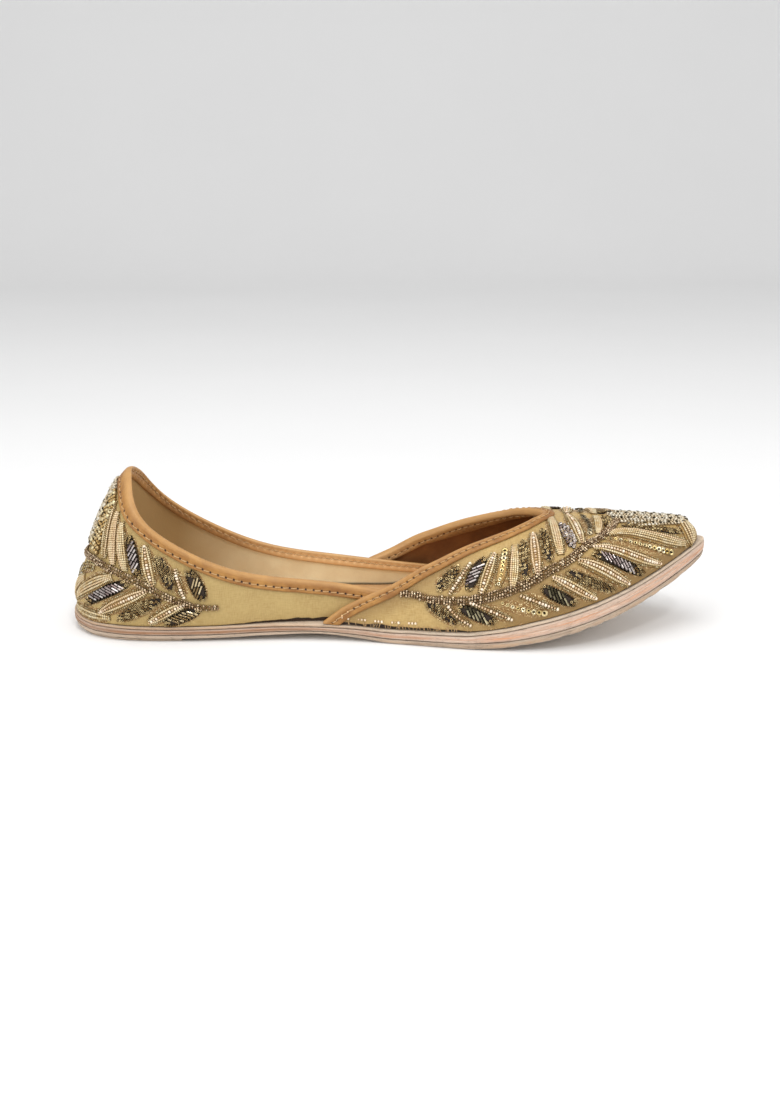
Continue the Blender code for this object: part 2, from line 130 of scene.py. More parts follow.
def spline(knots, values, at):
    """Cubic spline through a value or a row of values at each knot, read at some places."""
    knots, at = np.asarray(knots, float), np.atleast_1d(np.asarray(at, float))
    values = np.asarray(values, float).reshape(len(knots), -1)
    gap = np.diff(knots)
    slope = np.diff(values, axis=0) / gap[:, None]
    matrix, target = np.eye(len(knots)), np.zeros_like(values)
    for i in range(1, len(gap)):
        matrix[i, i - 1 : i + 2] = gap[i - 1], 2 * (gap[i - 1] + gap[i]), gap[i]
        target[i] = 6 * (slope[i] - slope[i - 1])
    bend = np.linalg.solve(matrix, target)
    k = np.clip(np.searchsorted(knots, at) - 1, 0, len(gap) - 1)
    width = gap[k][:, None]
    after, before = (at - knots[k])[:, None], (knots[k + 1] - at)[:, None]
    curved = (bend[k] * before**3 + bend[k + 1] * after**3) / (6 * width)
    left = (values[k] / width - bend[k] * width / 6) * before
    right = (values[k + 1] / width - bend[k + 1] * width / 6) * after
    return curved + left + right


def monotone(knots, values, at):
    """Cubic through the rows of a table that never swings past them, so flat stretches stay flat."""
    gap, slope = np.diff(knots), np.diff(values) / np.diff(knots)
    tangent = np.zeros(len(knots))
    tangent[0], tangent[-1] = slope[0], slope[-1]
    for i in range(1, len(gap)):
        if slope[i - 1] * slope[i] > 0:
            tangent[i] = 2 * slope[i - 1] * slope[i] / (slope[i - 1] + slope[i])
    at = np.asarray(at, float)
    k = np.clip(np.searchsorted(knots, at) - 1, 0, len(gap) - 1)
    u, h = (at - knots[k]) / gap[k], gap[k]
    start = (1 + 2 * u) * (1 - u) ** 2 * values[k] + u * (1 - u) ** 2 * h * tangent[k]
    end = u * u * (3 - 2 * u) * values[k + 1] + u * u * (u - 1) * h * tangent[k + 1]
    return start + end


def chords(points):
    """Distance along a run of points, at each of them."""
    return np.r_[0, np.cumsum(np.linalg.norm(np.diff(points, axis=0), axis=1))]


def unit(vectors):
    return vectors / np.linalg.norm(vectors, axis=-1, keepdims=True)


def outline_curve():
    """The half outline as close points, their outward normals and their distance from the heel."""
    rows = np.column_stack([OUTLINE["x"], OUTLINE["half_width"]])
    flip = np.array([1, -1])
    closed = np.vstack([rows[:0:-1] * flip, rows, rows[-2::-1] * flip])
    knots = chords(closed)
    heel, toe = len(rows) - 1, 2 * len(rows) - 2
    points = spline(knots, closed, np.linspace(knots[heel], knots[toe], OUTLINE_SAMPLES))
    along = unit(np.gradient(points, axis=0))
    return points, np.column_stack([-along[:, 1], along[:, 0]]), chords(points)


OUTLINE_POINTS, OUTLINE_NORMALS, OUTLINE_GIRTH = outline_curve()
HALF_GIRTH = OUTLINE_GIRTH[-1]


def edge_at(girth, inset):
    """x and half-width of the outline at a distance along it from the heel, moved inwards by inset."""
    point = [np.interp(girth, OUTLINE_GIRTH, OUTLINE_POINTS[:, i]) for i in (0, 1)]
    normal = [np.interp(girth, OUTLINE_GIRTH, OUTLINE_NORMALS[:, i]) for i in (0, 1)]
    return point[0] - inset * normal[0], np.maximum(point[1] - inset * normal[1], 0)


def girth_at(x):
    """Distance along the outline at a distance from the heel."""
    return np.interp(x, OUTLINE_POINTS[:, 0], OUTLINE_GIRTH)


def ramp(value, start, end):
    """From 0 at the start to 1 at the end, and level beyond them."""
    return np.clip((value - start) / (end - start), 0, 1)


def near_tip(girth):
    """Rises smoothly from 0 to 1 along the last of the outline, at the tip of the toe."""
    share = ramp(girth, HALF_GIRTH - TIP_GIRTH, HALF_GIRTH)
    return share**2 * (3 - 2 * share)


def sole(column, x):
    """A column of SOLE at some places."""
    return monotone(SOLE["x"], SOLE[column], x)


def outsole_base(x):
    return sole("underside", x)


def outsole_top(x):
    return outsole_base(x) + sole("outsole", x)


def lift_top(x):
    return outsole_base(x) - GAP


def lift_base(x):
    return lift_top(x) - LIFT_THICKNESS


def uneven(at, seed, longest=40.0, waves=7):
    """A smooth hand-made unevenness between about -1 and 1 along a length, from waves that get shorter and
    weaker; the seed picks it."""
    draw = np.random.default_rng(seed)
    lengths = longest * 0.62 ** np.arange(waves)
    phases = draw.uniform(0, 2 * math.pi, waves)
    parts = [np.sin(2 * math.pi * at / span + phase) for span, phase in zip(lengths, phases)]
    return sum(part * 0.8**i for i, part in enumerate(parts)) / 2.6


def skin(bm, grid, closed=False):
    """Quads over a grid of vertices; closed joins each row's last vertex to its first."""
    for row, following in zip(grid, grid[1:]):
        columns = len(row) if closed else len(row) - 1
        for j in range(columns):
            k = (j + 1) % len(row)
            bm.faces.new((row[j], row[k], following[k], following[j]))


def lay_grid(bm, points, lay, marks=None):
    """Vertices for a grid of points. Lay is the place that patterns follow, in millimetres along and across
    the piece, and a mark is a spot such as a hole, from 0 to 1."""
    lay_layer = bm.verts.layers.float_vector.get("lay") or bm.verts.layers.float_vector.new("lay")
    mark_layer = bm.verts.layers.float.get("mark") or bm.verts.layers.float.new("mark")
    lay = np.broadcast_to(lay, points.shape)
    marks = np.zeros(points.shape[:2]) if marks is None else np.broadcast_to(marks, points.shape[:2])
    grid = []
    for row in zip(points.tolist(), lay.tolist(), marks.tolist()):
        made = []
        for point, place, mark in zip(*row):
            vertex = bm.verts.new(point)
            vertex[lay_layer] = place
            vertex[mark_layer] = mark
            made.append(vertex)
        grid.append(made)
    return grid


def on_shoe(name, mesh):
    """A finished mesh as a piece that rides on the shoe."""
    piece = bpy.data.objects.new(name, mesh)
    bpy.context.scene.collection.objects.link(piece)
    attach(piece, "root")
    return piece


def finished(name, bm, material, sharp=50.0):
    """Sews up a mesh made in millimetres and makes it an object in metres that rides on the shoe."""
    bmesh.ops.remove_doubles(bm, verts=bm.verts, dist=2e-3)
    bmesh.ops.dissolve_degenerate(bm, edges=bm.edges, dist=1e-4)
    bmesh.ops.recalc_face_normals(bm, faces=bm.faces)
    for vertex in bm.verts:
        vertex.co = (vertex.co.x - LENGTH / 2) * MM, vertex.co.y * MM, vertex.co.z * MM
    mesh = bpy.data.meshes.new(name)
    bm.to_mesh(mesh)
    bm.free()
    mesh.shade_smooth()
    mesh.set_sharp_from_angle(angle=math.radians(sharp))
    mesh.materials.append(material)
    return on_shoe(name, mesh)


def slab(name, rings, base, top, material, seed, last_girth=HALF_GIRTH, rough=0.07, nicks=(), rounding=0):
    """A layer of the sole. Each ring is (inset, share of the thickness) on its edge, from the bottom up, and
    each nick in its lower edge is (girth, half length, depth). Rounding draws its upper edge in at the tip
    of the toe. Its marks are 1 at both faces and 0 half way up the edge, and 2 in a nick."""
    even = np.linspace(0, 1, SOLE_STATIONS)
    girths = last_girth * (even - 0.1 * np.sin(2 * math.pi * even))
    fade = ramp(np.minimum(girths, HALF_GIRTH - girths), 0, HEEL_AND_TOE_FADE)
    nicked = sum((depth * np.exp(-(((girths - at) / half) ** 4)) for at, half, depth in nicks), 0 * girths)
    rows, lay, marks = [], [], []
    for k, (inset, share) in enumerate(rings):
        depth = inset(girths) if callable(inset) else inset + rough * uneven(girths, seed + k // 2) * fade
        drawn_in = rounding * share**2 * near_tip(girths)
        x, half = edge_at(girths, depth + drawn_in + nicked * (1 - share) ** 3)
        rows.append(np.column_stack([x, -half, base(x) + share * (top(x) - base(x))]))
        lay.append(np.column_stack([girths, np.full(len(x), 0.3 * k), rows[-1][:, 2] - base(x)]))
        marks.append(np.full(len(x), abs(2 * share - 1)) + np.clip(2 * nicked * (1 - share) ** 2, 0, 1))
    for end in (0, -1):
        rim, rim_lay = rows[end], lay[end]
        for share in FACE_SHARES:
            at = 0 if end == 0 else len(rows)
            rows.insert(at, rim * [1, share, 1])
            lay.insert(at, rim_lay + np.outer(rim[:, 1] * (share - 1), [0, -1, 0]))
            marks.insert(at, np.ones(len(rim)))
    bm = bmesh.new()
    for side in (1, -1):
        grid = lay_grid(bm, np.array(rows) * [1, side, 1], np.array(lay), np.array(marks))
        skin(bm, grid)
        if last_girth < HALF_GIRTH:
            front = [row[-1] for row in grid]
            skin(bm, [front[: len(front) // 2], front[: (len(front) - 1) // 2 : -1]])
    return finished(name, bm, material)


def put(tree, kind, inputs=None, **settings):
    """A node with its settings made and its inputs, by name or number, set or linked."""
    made = tree.nodes.new(kind)
    for name, value in settings.items():
        setattr(made, name, value)
    for key, value in (inputs or {}).items():
        if isinstance(value, bpy.types.NodeSocket):
            tree.links.new(value, made.inputs[key])
        else:
            made.inputs[key].default_value = value
    return made


def maths(tree, operation, first, second=0.0):
    return put(tree, "ShaderNodeMath", {0: first, 1: second}, operation=operation).outputs[0]


def times(tree, first, second):
    return maths(tree, "MULTIPLY", first, second)


def spread(tree, value, low, high, to_low=0.0, to_high=1.0):
    """The value moved from one range to another, and kept in it."""
    inputs = {"Value": value, "From Min": low, "From Max": high, "To Min": to_low, "To Max": to_high}
    return put(tree, "ShaderNodeMapRange", inputs).outputs[0]


def blended(tree, factor, first, second):
    """Two colours mixed."""
    inputs = {0: factor, 6: first, 7: second}
    return put(tree, "ShaderNodeMix", inputs, data_type="RGBA").outputs[2]


def stretched(tree, place, scale):
    """A place vector with each of its directions scaled."""
    return put(tree, "ShaderNodeMapping", {"Vector": place, "Scale": scale}).outputs[0]


def cloudy(tree, place, scale, detail=3.0, roughness=0.55):
    inputs = {"Vector": place, "Scale": scale, "Detail": detail, "Roughness": roughness}
    return put(tree, "ShaderNodeTexNoise", inputs).outputs[0]


def named(tree, name, output="Fac"):
    """A mesh attribute by name, as a number or as a vector."""
    return put(tree, "ShaderNodeAttribute", attribute_name=name).outputs[output]


def own_place(tree):
    """Where a point is on the shoe, in metres."""
    return put(tree, "ShaderNodeTexCoord").outputs["Object"]


def three_parts(tree, vector):
    return put(tree, "ShaderNodeSeparateXYZ", {0: vector}).outputs


def paint(tree, shader, colour):
    tree.links.new(colour, shader.inputs["Base Color"])


def rgb(red, green, blue):
    """A colour given from 0 to 255, as the shader wants it."""
    return (*(((c / 255 + 0.055) / 1.055) ** 2.4 for c in (red, green, blue)), 1.0)


def effect(name, inputs, outputs):
    """An empty shader group with named inputs and outputs: {"name": (socket type, default)}."""
    tree = bpy.data.node_groups.new(name, "ShaderNodeTree")
    for socket, (kind, default) in inputs.items():
        made = tree.interface.new_socket(socket, in_out="INPUT", socket_type="NodeSocket" + kind)
        if default is not None:
            made.default_value = default
    for socket in outputs:
        tree.interface.new_socket(socket, in_out="OUTPUT", socket_type="NodeSocketFloat")
    return tree, tree.nodes.new("NodeGroupInput").outputs, tree.nodes.new("NodeGroupOutput").inputs


def placed(tree, group, inputs):
    """A shader group used in a material, as its outputs."""
    return put(tree, "ShaderNodeGroup", inputs, node_tree=group).outputs


def finish(name, **values):
    """A material, its node tree and its shader, with values such as Roughness set on the shader."""
    material = bpy.data.materials.new(name)
    material.use_nodes = True
    shader = material.node_tree.nodes["Principled BSDF"]
    for key, value in values.items():
        shader.inputs[key.replace("_", " ")].default_value = value
    return material, material.node_tree, shader


def raise_surface(tree, shader, height, distance):
    """Bump on a shader from a height between 0 and 1, as deep as the distance in millimetres."""
    bump = put(tree, "ShaderNodeBump", {"Height": height, "Distance": distance * MM})
    tree.links.new(bump.outputs[0], shader.inputs["Normal"])


def fibre_effect():
    """The cut edge of thick leather: layers and finer streaks along it, darker flecks, and a height."""
    sockets = ["Layer", "Streak", "Fleck", "Height"]
    tree, given, out = effect("cut fibre", {"Place": ("Vector", None)}, sockets)
    layer = cloudy(tree, stretched(tree, given["Place"], (0.045, 0.2, 1.15)), 1.0, 4.0, 0.6)
    streak = cloudy(tree, stretched(tree, given["Place"], (0.16, 0.35, 2.2)), 1.0, 5.0, 0.65)
    fine = cloudy(tree, stretched(tree, given["Place"], (0.9, 1.0, 7.0)), 1.0, 3.0)
    fleck = cloudy(tree, stretched(tree, given["Place"], (0.4, 0.5, 1.6)), 1.0, 4.0, 0.7)
    tree.links.new(spread(tree, layer, 0.42, 0.62), out["Layer"])
    tree.links.new(spread(tree, streak, 0.32, 0.68), out["Streak"])
    tree.links.new(spread(tree, fleck, 0.55, 0.7), out["Fleck"])
    coarse, close = times(tree, streak, 0.7), times(tree, fine, 0.3)
    tree.links.new(maths(tree, "ADD", coarse, close), out["Height"])
    return tree


FIBRE = fibre_effect()


def cut_leather(name, dark, light, warm, rim, fleck, at_heel):
    """Raw-edged sole leather: dark and light streaks, warm layers along the middle of the edge, a rim tone
    towards its faces, flecks of grime, darker inside the nicks, and the tone it has from the waist back."""
    material, tree, shader = finish(name, Roughness=0.74, Specular_IOR_Level=0.3)
    fibre = placed(tree, FIBRE, {"Place": named(tree, "lay", "Vector")})
    mark = named(tree, "mark")
    colour = blended(tree, fibre["Streak"], dark, light)
    inner = times(tree, spread(tree, mark, 1.0, 0.3), fibre["Layer"])
    colour = blended(tree, times(tree, inner, 0.85), colour, warm)
    back = spread(tree, three_parts(tree, own_place(tree))[0], 0.02, -0.04)
    colour = blended(tree, times(tree, back, 0.7), colour, at_heel)
    streaks = spread(tree, fibre["Streak"], 0.0, 1.0, 0.45, 0.95)
    pale = times(tree, spread(tree, mark, 0.35, 1.0), streaks)
    colour = blended(tree, pale, colour, rim)
    dark_share = times(tree, fibre["Fleck"], 0.5)
    # darker inside the nicks of the lower edge, as well as in the flecks
    dark_share = maths(tree, "MAXIMUM", dark_share, spread(tree, mark, 1.15, 1.7))
    paint(tree, shader, blended(tree, dark_share, colour, fleck))
    raise_surface(tree, shader, fibre["Height"], 0.45)
    return material


# Nicks scuffed out of the outsole's lower edge: girth, half length and depth.
NICKS = [(168.0, 1.2, 0.35), (196.0, 1.6, 0.5), (213.0, 1.4, 0.6), (222.0, 1.8, 0.55), (229.0, 1.0, 0.4)]
NICKS += [(250.0, 1.5, 0.6), (257.0, 2.2, 0.7), (268.0, 1.2, 0.4), (38.0, 1.5, 0.4), (92.0, 2.0, 0.3)]

outsole_leather = cut_leather(
    "outsole leather",
    dark=rgb(158, 136, 118),
    light=rgb(206, 184, 160),
    warm=rgb(206, 172, 140),
    rim=rgb(196, 180, 162),
    fleck=rgb(84, 74, 68),
    at_heel=rgb(204, 184, 164),
)
worn_edge = [(1.5, 0.0), (1.0, 0.03), (0.62, 0.16), (0.42, 0.4), (0.3, 0.62), (0.34, 0.72), (0.2, 0.82)]
worn_edge += [(0.22, 0.95), (0.5, 1.0)]
outsole = slab(
    "outsole_edge_worn", worn_edge, outsole_base, outsole_top, outsole_leather, 11, rough=0.16, nicks=NICKS
)
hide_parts("outsole")
lift_edge = [(2.2, 0.0), (1.95, 0.1), (1.75, 0.5), (1.7, 0.9), (1.85, 1.0)]
lift = slab("heel_lift_leather", lift_edge, lift_base, lift_top, outsole_leather, 23, girth_at(LIFT_FRONT))
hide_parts("heel_lift")

# ------------------------ midsole
# The midsole is a thicker piece of tan leather that gives the sole its body and its rise at the toe. The
# edge is trimmed with a knife and left bare, orange-tan at the front and browner from the waist back.


def midsole_base(x):
    return outsole_top(x) + GAP


def midsole_top(x):
    return midsole_base(x) + sole("midsole", x)


midsole_leather = cut_leather(
    "midsole leather",
    dark=rgb(194, 164, 142),
    light=rgb(232, 208, 188),
    warm=rgb(218, 156, 116),
    rim=rgb(200, 182, 166),
    fleck=rgb(124, 102, 88),
    at_heel=rgb(146, 108, 78),
)
knife_edge = [(0.55, 0.0), (0.16, 0.06), (0.04, 0.2), (0.02, 0.38), (0.16, 0.44), (0.17, 0.47), (0.03, 0.53)]
knife_edge += [(0.0, 0.7), (0.06, 0.86), (0.22, 0.95), (0.55, 1.0)]
midsole = slab("midsole_bare_edge", knife_edge, midsole_base, midsole_top, midsole_leather, 37)
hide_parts("midsole")

# ------------------------ rand
# The rand is a thin pale strip of leather on top of the midsole. The upper is turned in under the sock and
# sewn down to it, so that the rand shows as a narrow ledge all round.

RAND_ROUNDING = 1.9  # its upper edge is drawn in this much at the tip of the toe


def rand_base(x):
    return midsole_top(x) + GAP


def sole_top(x):
    """Height of the face that the upper stands on."""
    return rand_base(x) + sole("rand", x)


rand_leather = cut_leather(
    "rand leather",
    dark=rgb(178, 160, 140),
    light=rgb(226, 208, 186),
    warm=rgb(214, 190, 164),
    rim=rgb(206, 190, 170),
    fleck=rgb(112, 94, 78),
    at_heel=rgb(188, 150, 116),
)
rand_edge = [(0.6, 0.0), (0.24, 0.12), (0.12, 0.4), (0.12, 0.68), (0.26, 0.92), (0.55, 1.0)]
rand = slab("rand_strip", rand_edge, rand_base, sole_top, rand_leather, 53, rounding=RAND_ROUNDING)
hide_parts("rand")

# ------------------------ sock
# The sock is the thin lined insole that the foot stands on, cut to fit inside the upper. It is smooth
# lining leather, a little padded, glued down on the turned-in edges.

SOCK_THICKNESS = 1.6
SOCK = table(
    "girth inset",
    (0.0, 3.3),
    (86.0, 3.6),
    (103.0, 5.0),
    (119.0, 6.7),
    (168.0, 6.7),
    (186.0, 3.8),
    (274.0, 3.8),
    (290.0, 6.1),
)


def upper_foot(x):
    """Height of the lower edge of the upper and of the sock."""
    return sole_top(x) + GAP


def sock_top(x):
    return upper_foot(x) + SOCK_THICKNESS


def sock_inset(extra):
    return lambda girth: np.interp(girth, SOCK["girth"], SOCK["inset"]) + extra


def grain_effect():
    """Finished leather: fine pebbles and pores, and slow clouds of tone."""
    sockets = {"Place": ("Vector", None), "Pebble": ("Float", 1.0)}
    tree, given, out = effect("leather grain", sockets, ["Height", "Cloud", "Pore"])
    scale = maths(tree, "DIVIDE", 1.0, given["Pebble"])
    inputs = {"Vector": given["Place"], "Scale": scale}
    pebbles = put(tree, "ShaderNodeTexVoronoi", inputs, feature="SMOOTH_F1").outputs["Distance"]
    fine = cloudy(tree, given["Place"], 2.4, 4.0)
    height = maths(tree, "ADD", times(tree, pebbles, 0.6), times(tree, fine, 0.5))
    tree.links.new(height, out["Height"])
    tree.links.new(spread(tree, cloudy(tree, given["Place"], 0.11, 4.0, 0.6), 0.35, 0.65), out["Cloud"])
    tree.links.new(spread(tree, fine, 0.6, 0.75), out["Pore"])
    return tree


GRAIN = grain_effect()


def dressed_leather(name, dark, light, pebble, depth, roughness=0.5):
    """Finished leather with grain, in two tones. Returns what a piece needs to add to its colour."""
    material, tree, shader = finish(name, Roughness=roughness, Specular_IOR_Level=0.4)
    lay = named(tree, "lay", "Vector")
    grain = placed(tree, GRAIN, {"Place": lay, "Pebble": pebble})
    colour = blended(tree, grain["Cloud"], dark, light)
    colour = blended(tree, times(tree, grain["Pore"], 0.25), colour, dark)
    paint(tree, shader, colour)
    rough = spread(tree, grain["Height"], 0.2, 0.8, roughness - 0.08, roughness + 0.12)
    tree.links.new(rough, shader.inputs["Roughness"])
    raise_surface(tree, shader, grain["Height"], depth)
    return material, tree, shader, colour


sock_leather = dressed_leather("sock leather", rgb(186, 144, 98), rgb(202, 162, 114), 0.9, 0.08)[0]
sock_edge = [(sock_inset(0.3), 0.0), (sock_inset(0.0), 0.2), (sock_inset(0.0), 0.7), (sock_inset(0.5), 1.0)]
sock = slab("sock_lining", sock_edge, upper_foot, sock_top, sock_leather, 71)
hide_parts("insole")

# ------------------------ vamp, cloth and lining
# The vamp is the front of the upper: two wings that meet over the instep and close over the toes. It is
# satin cloth stretched over a leather lining, and its lower edge is turned in under the foot.

SMALL = 1e-3  # a step for slopes
UPPER_INSET = 1.0  # the upper's outer face stands this far inside the edge of the sole
VAMP_WALL = 1.8
CLOTH = 0.75  # the satin's share of the wall
BINDING_SKIN = 0.6
BINDING_DEPTH = 4.0
SECTION_RADIUS = 30.0
LAST_ROUNDNESS = 2.25
TOE_CAP_LENGTH = 8.5
TOE_SETBACK = 2.0  # the upper stands this much further inside the edge of the sole at the tip
THROAT_PLACES = 241  # along the vamp's edge, an odd number so that one is at the middle
TOE_STATIONS = 64
VAMP_LEVELS = 40
LINING_EASE = 0.05  # left between a cloth and its lining
TOE_BROWN_AND_SHADE = (160.0, 195.0)  # the satin's foot turns brown between these girths, partly its own tone and partly painted shade among the embroidery
THROAT_BAND = (13.0, 4.0)  # the painted shade under the throat's binding starts this far below the cut edge, and is full at that
THROAT_SHADE = (186.0, 168.0)  # and it fades out between these girths

# The ridge of the last, along the middle of the vamp and on under the open throat.
RIDGE = table(
    "x height",
    (95.0, 34.5),
    (120.0, 35.0),
    (142.0, 36.2),
    (162.0, 39.8),
    (180.0, 42.8),
    (191.0, 44.3),
    (202.0, 44.0),
    (222.0, 43.2),
    (240.0, 42.4),
    (LENGTH, 41.6),
)

# The vamp's finished edge. The angle is the place on the last's cross-section, 0 at the sole and 90 on
# the ridge.
THROAT = table(
    "x angle",
    (102.0, 1.0),
    (104.5, 5.5),
    (108.0, 11.5),
    (112.0, 17.0),
    (116.0, 21.5),
    (120.0, 25.5),
    (126.0, 31.0),
    (133.0, 38.0),
    (140.0, 45.5),
    (148.0, 52.5),
    (156.0, 58.5),
    (164.0, 63.0),
    (172.0, 67.5),
    (179.0, 72.5),
    (185.0, 80.0),
    (189.5, 90.0),
)

# How far the vamp's wall bends outwards at its finished edge.
FLARE = table("x reach", (112.0, 0.0), (128.0, 0.5), (142.0, 1.4), (178.0, 1.4), (190.0, 0.8), (203.0, 0.0))
FLARE_DEPTH = 10.0

# Soft ridges and troughs in the stretched cloth: girth, height up the section, half length, half width, turn
# in degrees and how far each stands out.
VAMP_CREASES = [
    (118.0, 7.0, 9.0, 2.2, 25.0, 0.35),
    (127.0, 5.0, 8.0, 2.0, 60.0, -0.3),
    (141.0, 9.0, 10.0, 2.6, 35.0, 0.3),
    (168.0, 4.0, 9.0, 2.4, 75.0, -0.25),
    (196.0, 30.0, 12.0, 3.0, 80.0, 0.25),
    (243.0, 18.0, 10.0, 3.0, 40.0, -0.25),
]


def section(angle):
    """Point of a unit superellipse in a direction: 0 is out at the sole, 90 degrees up on the ridge."""
    c, s = np.cos(angle), np.sin(angle)
    reach = (np.abs(c) ** LAST_ROUNDNESS + np.abs(s) ** LAST_ROUNDNESS) ** (-1 / LAST_ROUNDNESS)
    return c * reach, s * reach


def relief(creases, along, up):
    """How far soft ridges and troughs stand out at places along and up a wall."""
    total = np.zeros(np.broadcast(along, up).shape)
    for at_along, at_up, length, width, turn, height in creases:
        c, s = math.cos(math.radians(turn)), math.sin(math.radians(turn))
        u = (along - at_along) * c + (up - at_up) * s
        v = (up - at_up) * c - (along - at_along) * s
        total += height * np.exp(-((u / length) ** 2) - (v / width) ** 2)
    return total


def vamp_inset(girth):
    """How far inside the edge of the sole the vamp stands, which is more at the tip."""
    return UPPER_INSET + TOE_SETBACK * near_tip(girth)


def flare(x, angle):
    """How far the wall bends outwards near its finished edge and just ahead of the throat."""
    edge = np.radians(np.interp(x, THROAT["x"], THROAT["angle"]))
    below = (edge - np.minimum(angle, math.pi - angle)) * SECTION_RADIUS
    below = below + np.maximum(x - THROAT["x"][-1], 0)
    return monotone(FLARE["x"], FLARE["reach"], x) * ramp(below, FLARE_DEPTH, 0) ** 2


def vamp_surface(girth, angle, grow):
    """Point on the vamp's wall; grow is 0 on its outer face, negative inside and positive outside."""
    up = np.minimum(angle, math.pi - angle) * SECTION_RADIUS
    grow = grow + relief(VAMP_CREASES, girth, up) * np.clip(up / 4, 0, 1)
    grow = grow + flare(edge_at(girth, UPPER_INSET)[0], angle)
    x, half = edge_at(girth, vamp_inset(girth) - grow)
    foot = upper_foot(x)
    tip = edge_at(HALF_GIRTH, vamp_inset(HALF_GIRTH) - grow)[0]
    into_cap = np.clip((x - tip + TOE_CAP_LENGTH) / TOE_CAP_LENGTH, 0, 1)
    rise = monotone(RIDGE["x"], RIDGE["height"], x) + grow - foot
    rise = rise * np.sqrt(1 - into_cap**2.8)
    across, height = section(angle)
    return np.stack(np.broadcast_arrays(x, -half * across, foot + rise * height), -1)


def face_at(surface, place):
    """Points of a surface at places (first, second), their slopes and their outward normals."""
    first, second = place[..., 0], place[..., 1]
    here = surface(first, second, 0.0)
    by_first = (surface(first + SMALL, second, 0.0) - here) / SMALL
    by_second = (surface(first, second - SMALL, 0.0) - here) / -SMALL
    out = unit(np.cross(by_first, by_second))
    facing = np.sum(out * (surface(first, second, 1.0) - here), -1, keepdims=True)
    return here, np.stack([by_first, by_second], -1), out * np.sign(facing)


def stepped(surface, place, step):
    """The places on a surface that lie a step away, a vector in space at each."""
    slopes = face_at(surface, place)[1]
    return place + np.einsum("...ij,...j->...i", np.linalg.pinv(slopes), step)


def throat_edge():
    """Girth and angle along the whole finished edge, from the near wing's end to the far wing's end."""
    rows = np.column_stack([girth_at(THROAT["x"]), np.radians(THROAT["angle"])])
    far_side = rows[-2::-1] * np.array([1, -1]) + np.array([0, math.pi])
    whole = np.vstack([rows, far_side])
    pace = chords(whole * np.array([1, SECTION_RADIUS]))
    return spline(pace, whole, np.linspace(0, pace[-1], THROAT_PLACES))


def down_from_edge(edge):
    """Direction on the vamp's outer face square to its edge, away from the opening."""
    here, _, out = face_at(vamp_surface, edge)
    return unit(np.cross(np.gradient(here, axis=0), out))


THROAT_EDGE = throat_edge()
THROAT_CUT = stepped(vamp_surface, THROAT_EDGE, down_from_edge(THROAT_EDGE) * (GAP + BINDING_SKIN))


def vamp_grid(girths, angles, grow, lift, levels):
    """Points from a lift above the sole up to an angle at each girth, and the place of each."""
    shares = np.linspace(0, 1, levels)[:, None]
    rise = vamp_surface(girths, math.pi / 2, grow)[:, 2] - vamp_surface(girths, 0.0, grow)[:, 2]
    start = lift / np.maximum(rise, 2.0)
    angle = start + (angles - start) * shares
    points = vamp_surface(girths + 0 * angle, angle, grow)
    lay = np.stack([girths + 0 * angle, angle * SECTION_RADIUS, np.full(angle.shape, grow)], -1)
    return points, lay


# How far the satin's lower edge stands up off the sole, most under the wings.
VAMP_LIFT = table("girth lift", (115.0, 0.9), (125.0, 1.6), (160.0, 1.5), (185.0, 0.4))


def cloth_lift(girths):
    """How far the satin's lower edge stands up at places along it, uneven as a hand leaves it."""
    wing = np.interp(girths, VAMP_LIFT["girth"], VAMP_LIFT["lift"])
    return wing * (1 + 0.4 * uneven(girths, 77, 26.0, 3)) - 0.1


def turned_in(girths, rim, reach, drop):
    """A row under the lower edge of the cloth, where it is folded in towards the foot."""
    x, half = edge_at(girths, vamp_inset(girths) + reach)
    return np.column_stack([x, -half, rim[:, 2] - drop])


def wing_end_room(angles):
    """The most that the lower edge can stand up near a wing's end, where the cloth is this low."""
    return 0.3 * angles * SECTION_RADIUS


def satin_brown_and_painted_shade(lay):
    """How dark the satin is painted, from 0 to 1: up from its foot at the toe, a brown that is partly its own
    tone and partly painted shade among the embroidery, and painted shade in a band along the throat under its
    binding.
    """
    girth, up = lay[..., 0], lay[..., 1]
    at_toe = ramp(girth, *TOE_BROWN_AND_SHADE) * np.clip(1.15 - up / 24, 0.15, 0.75)
    # painted shade cast by the throat's binding
    along_throat = 0.7 * ramp(up[-1:] - up, *THROAT_BAND) * ramp(girth, *THROAT_SHADE)
    return np.maximum(at_toe, along_throat)


def close_cloth(bm, outer, inner, tucked, top, ends):
    """Skins a cloth's two faces and joins them along the foot, along the top as far as a column, and at its
    ends. The outer face has a number of tucked rows more, at the foot."""
    skin(bm, outer)
    skin(bm, inner)
    skin(bm, [outer[0], inner[0]])
    skin(bm, [outer[-1][:top], inner[-1][:top]])
    for end in ends:
        outside, inside = ([row[end] for row in face] for face in (outer, inner))
        skin(bm, [outside[tucked:], inside])
        if tucked:
            bm.faces.new(outside[: tucked + 1] + inside[:1])


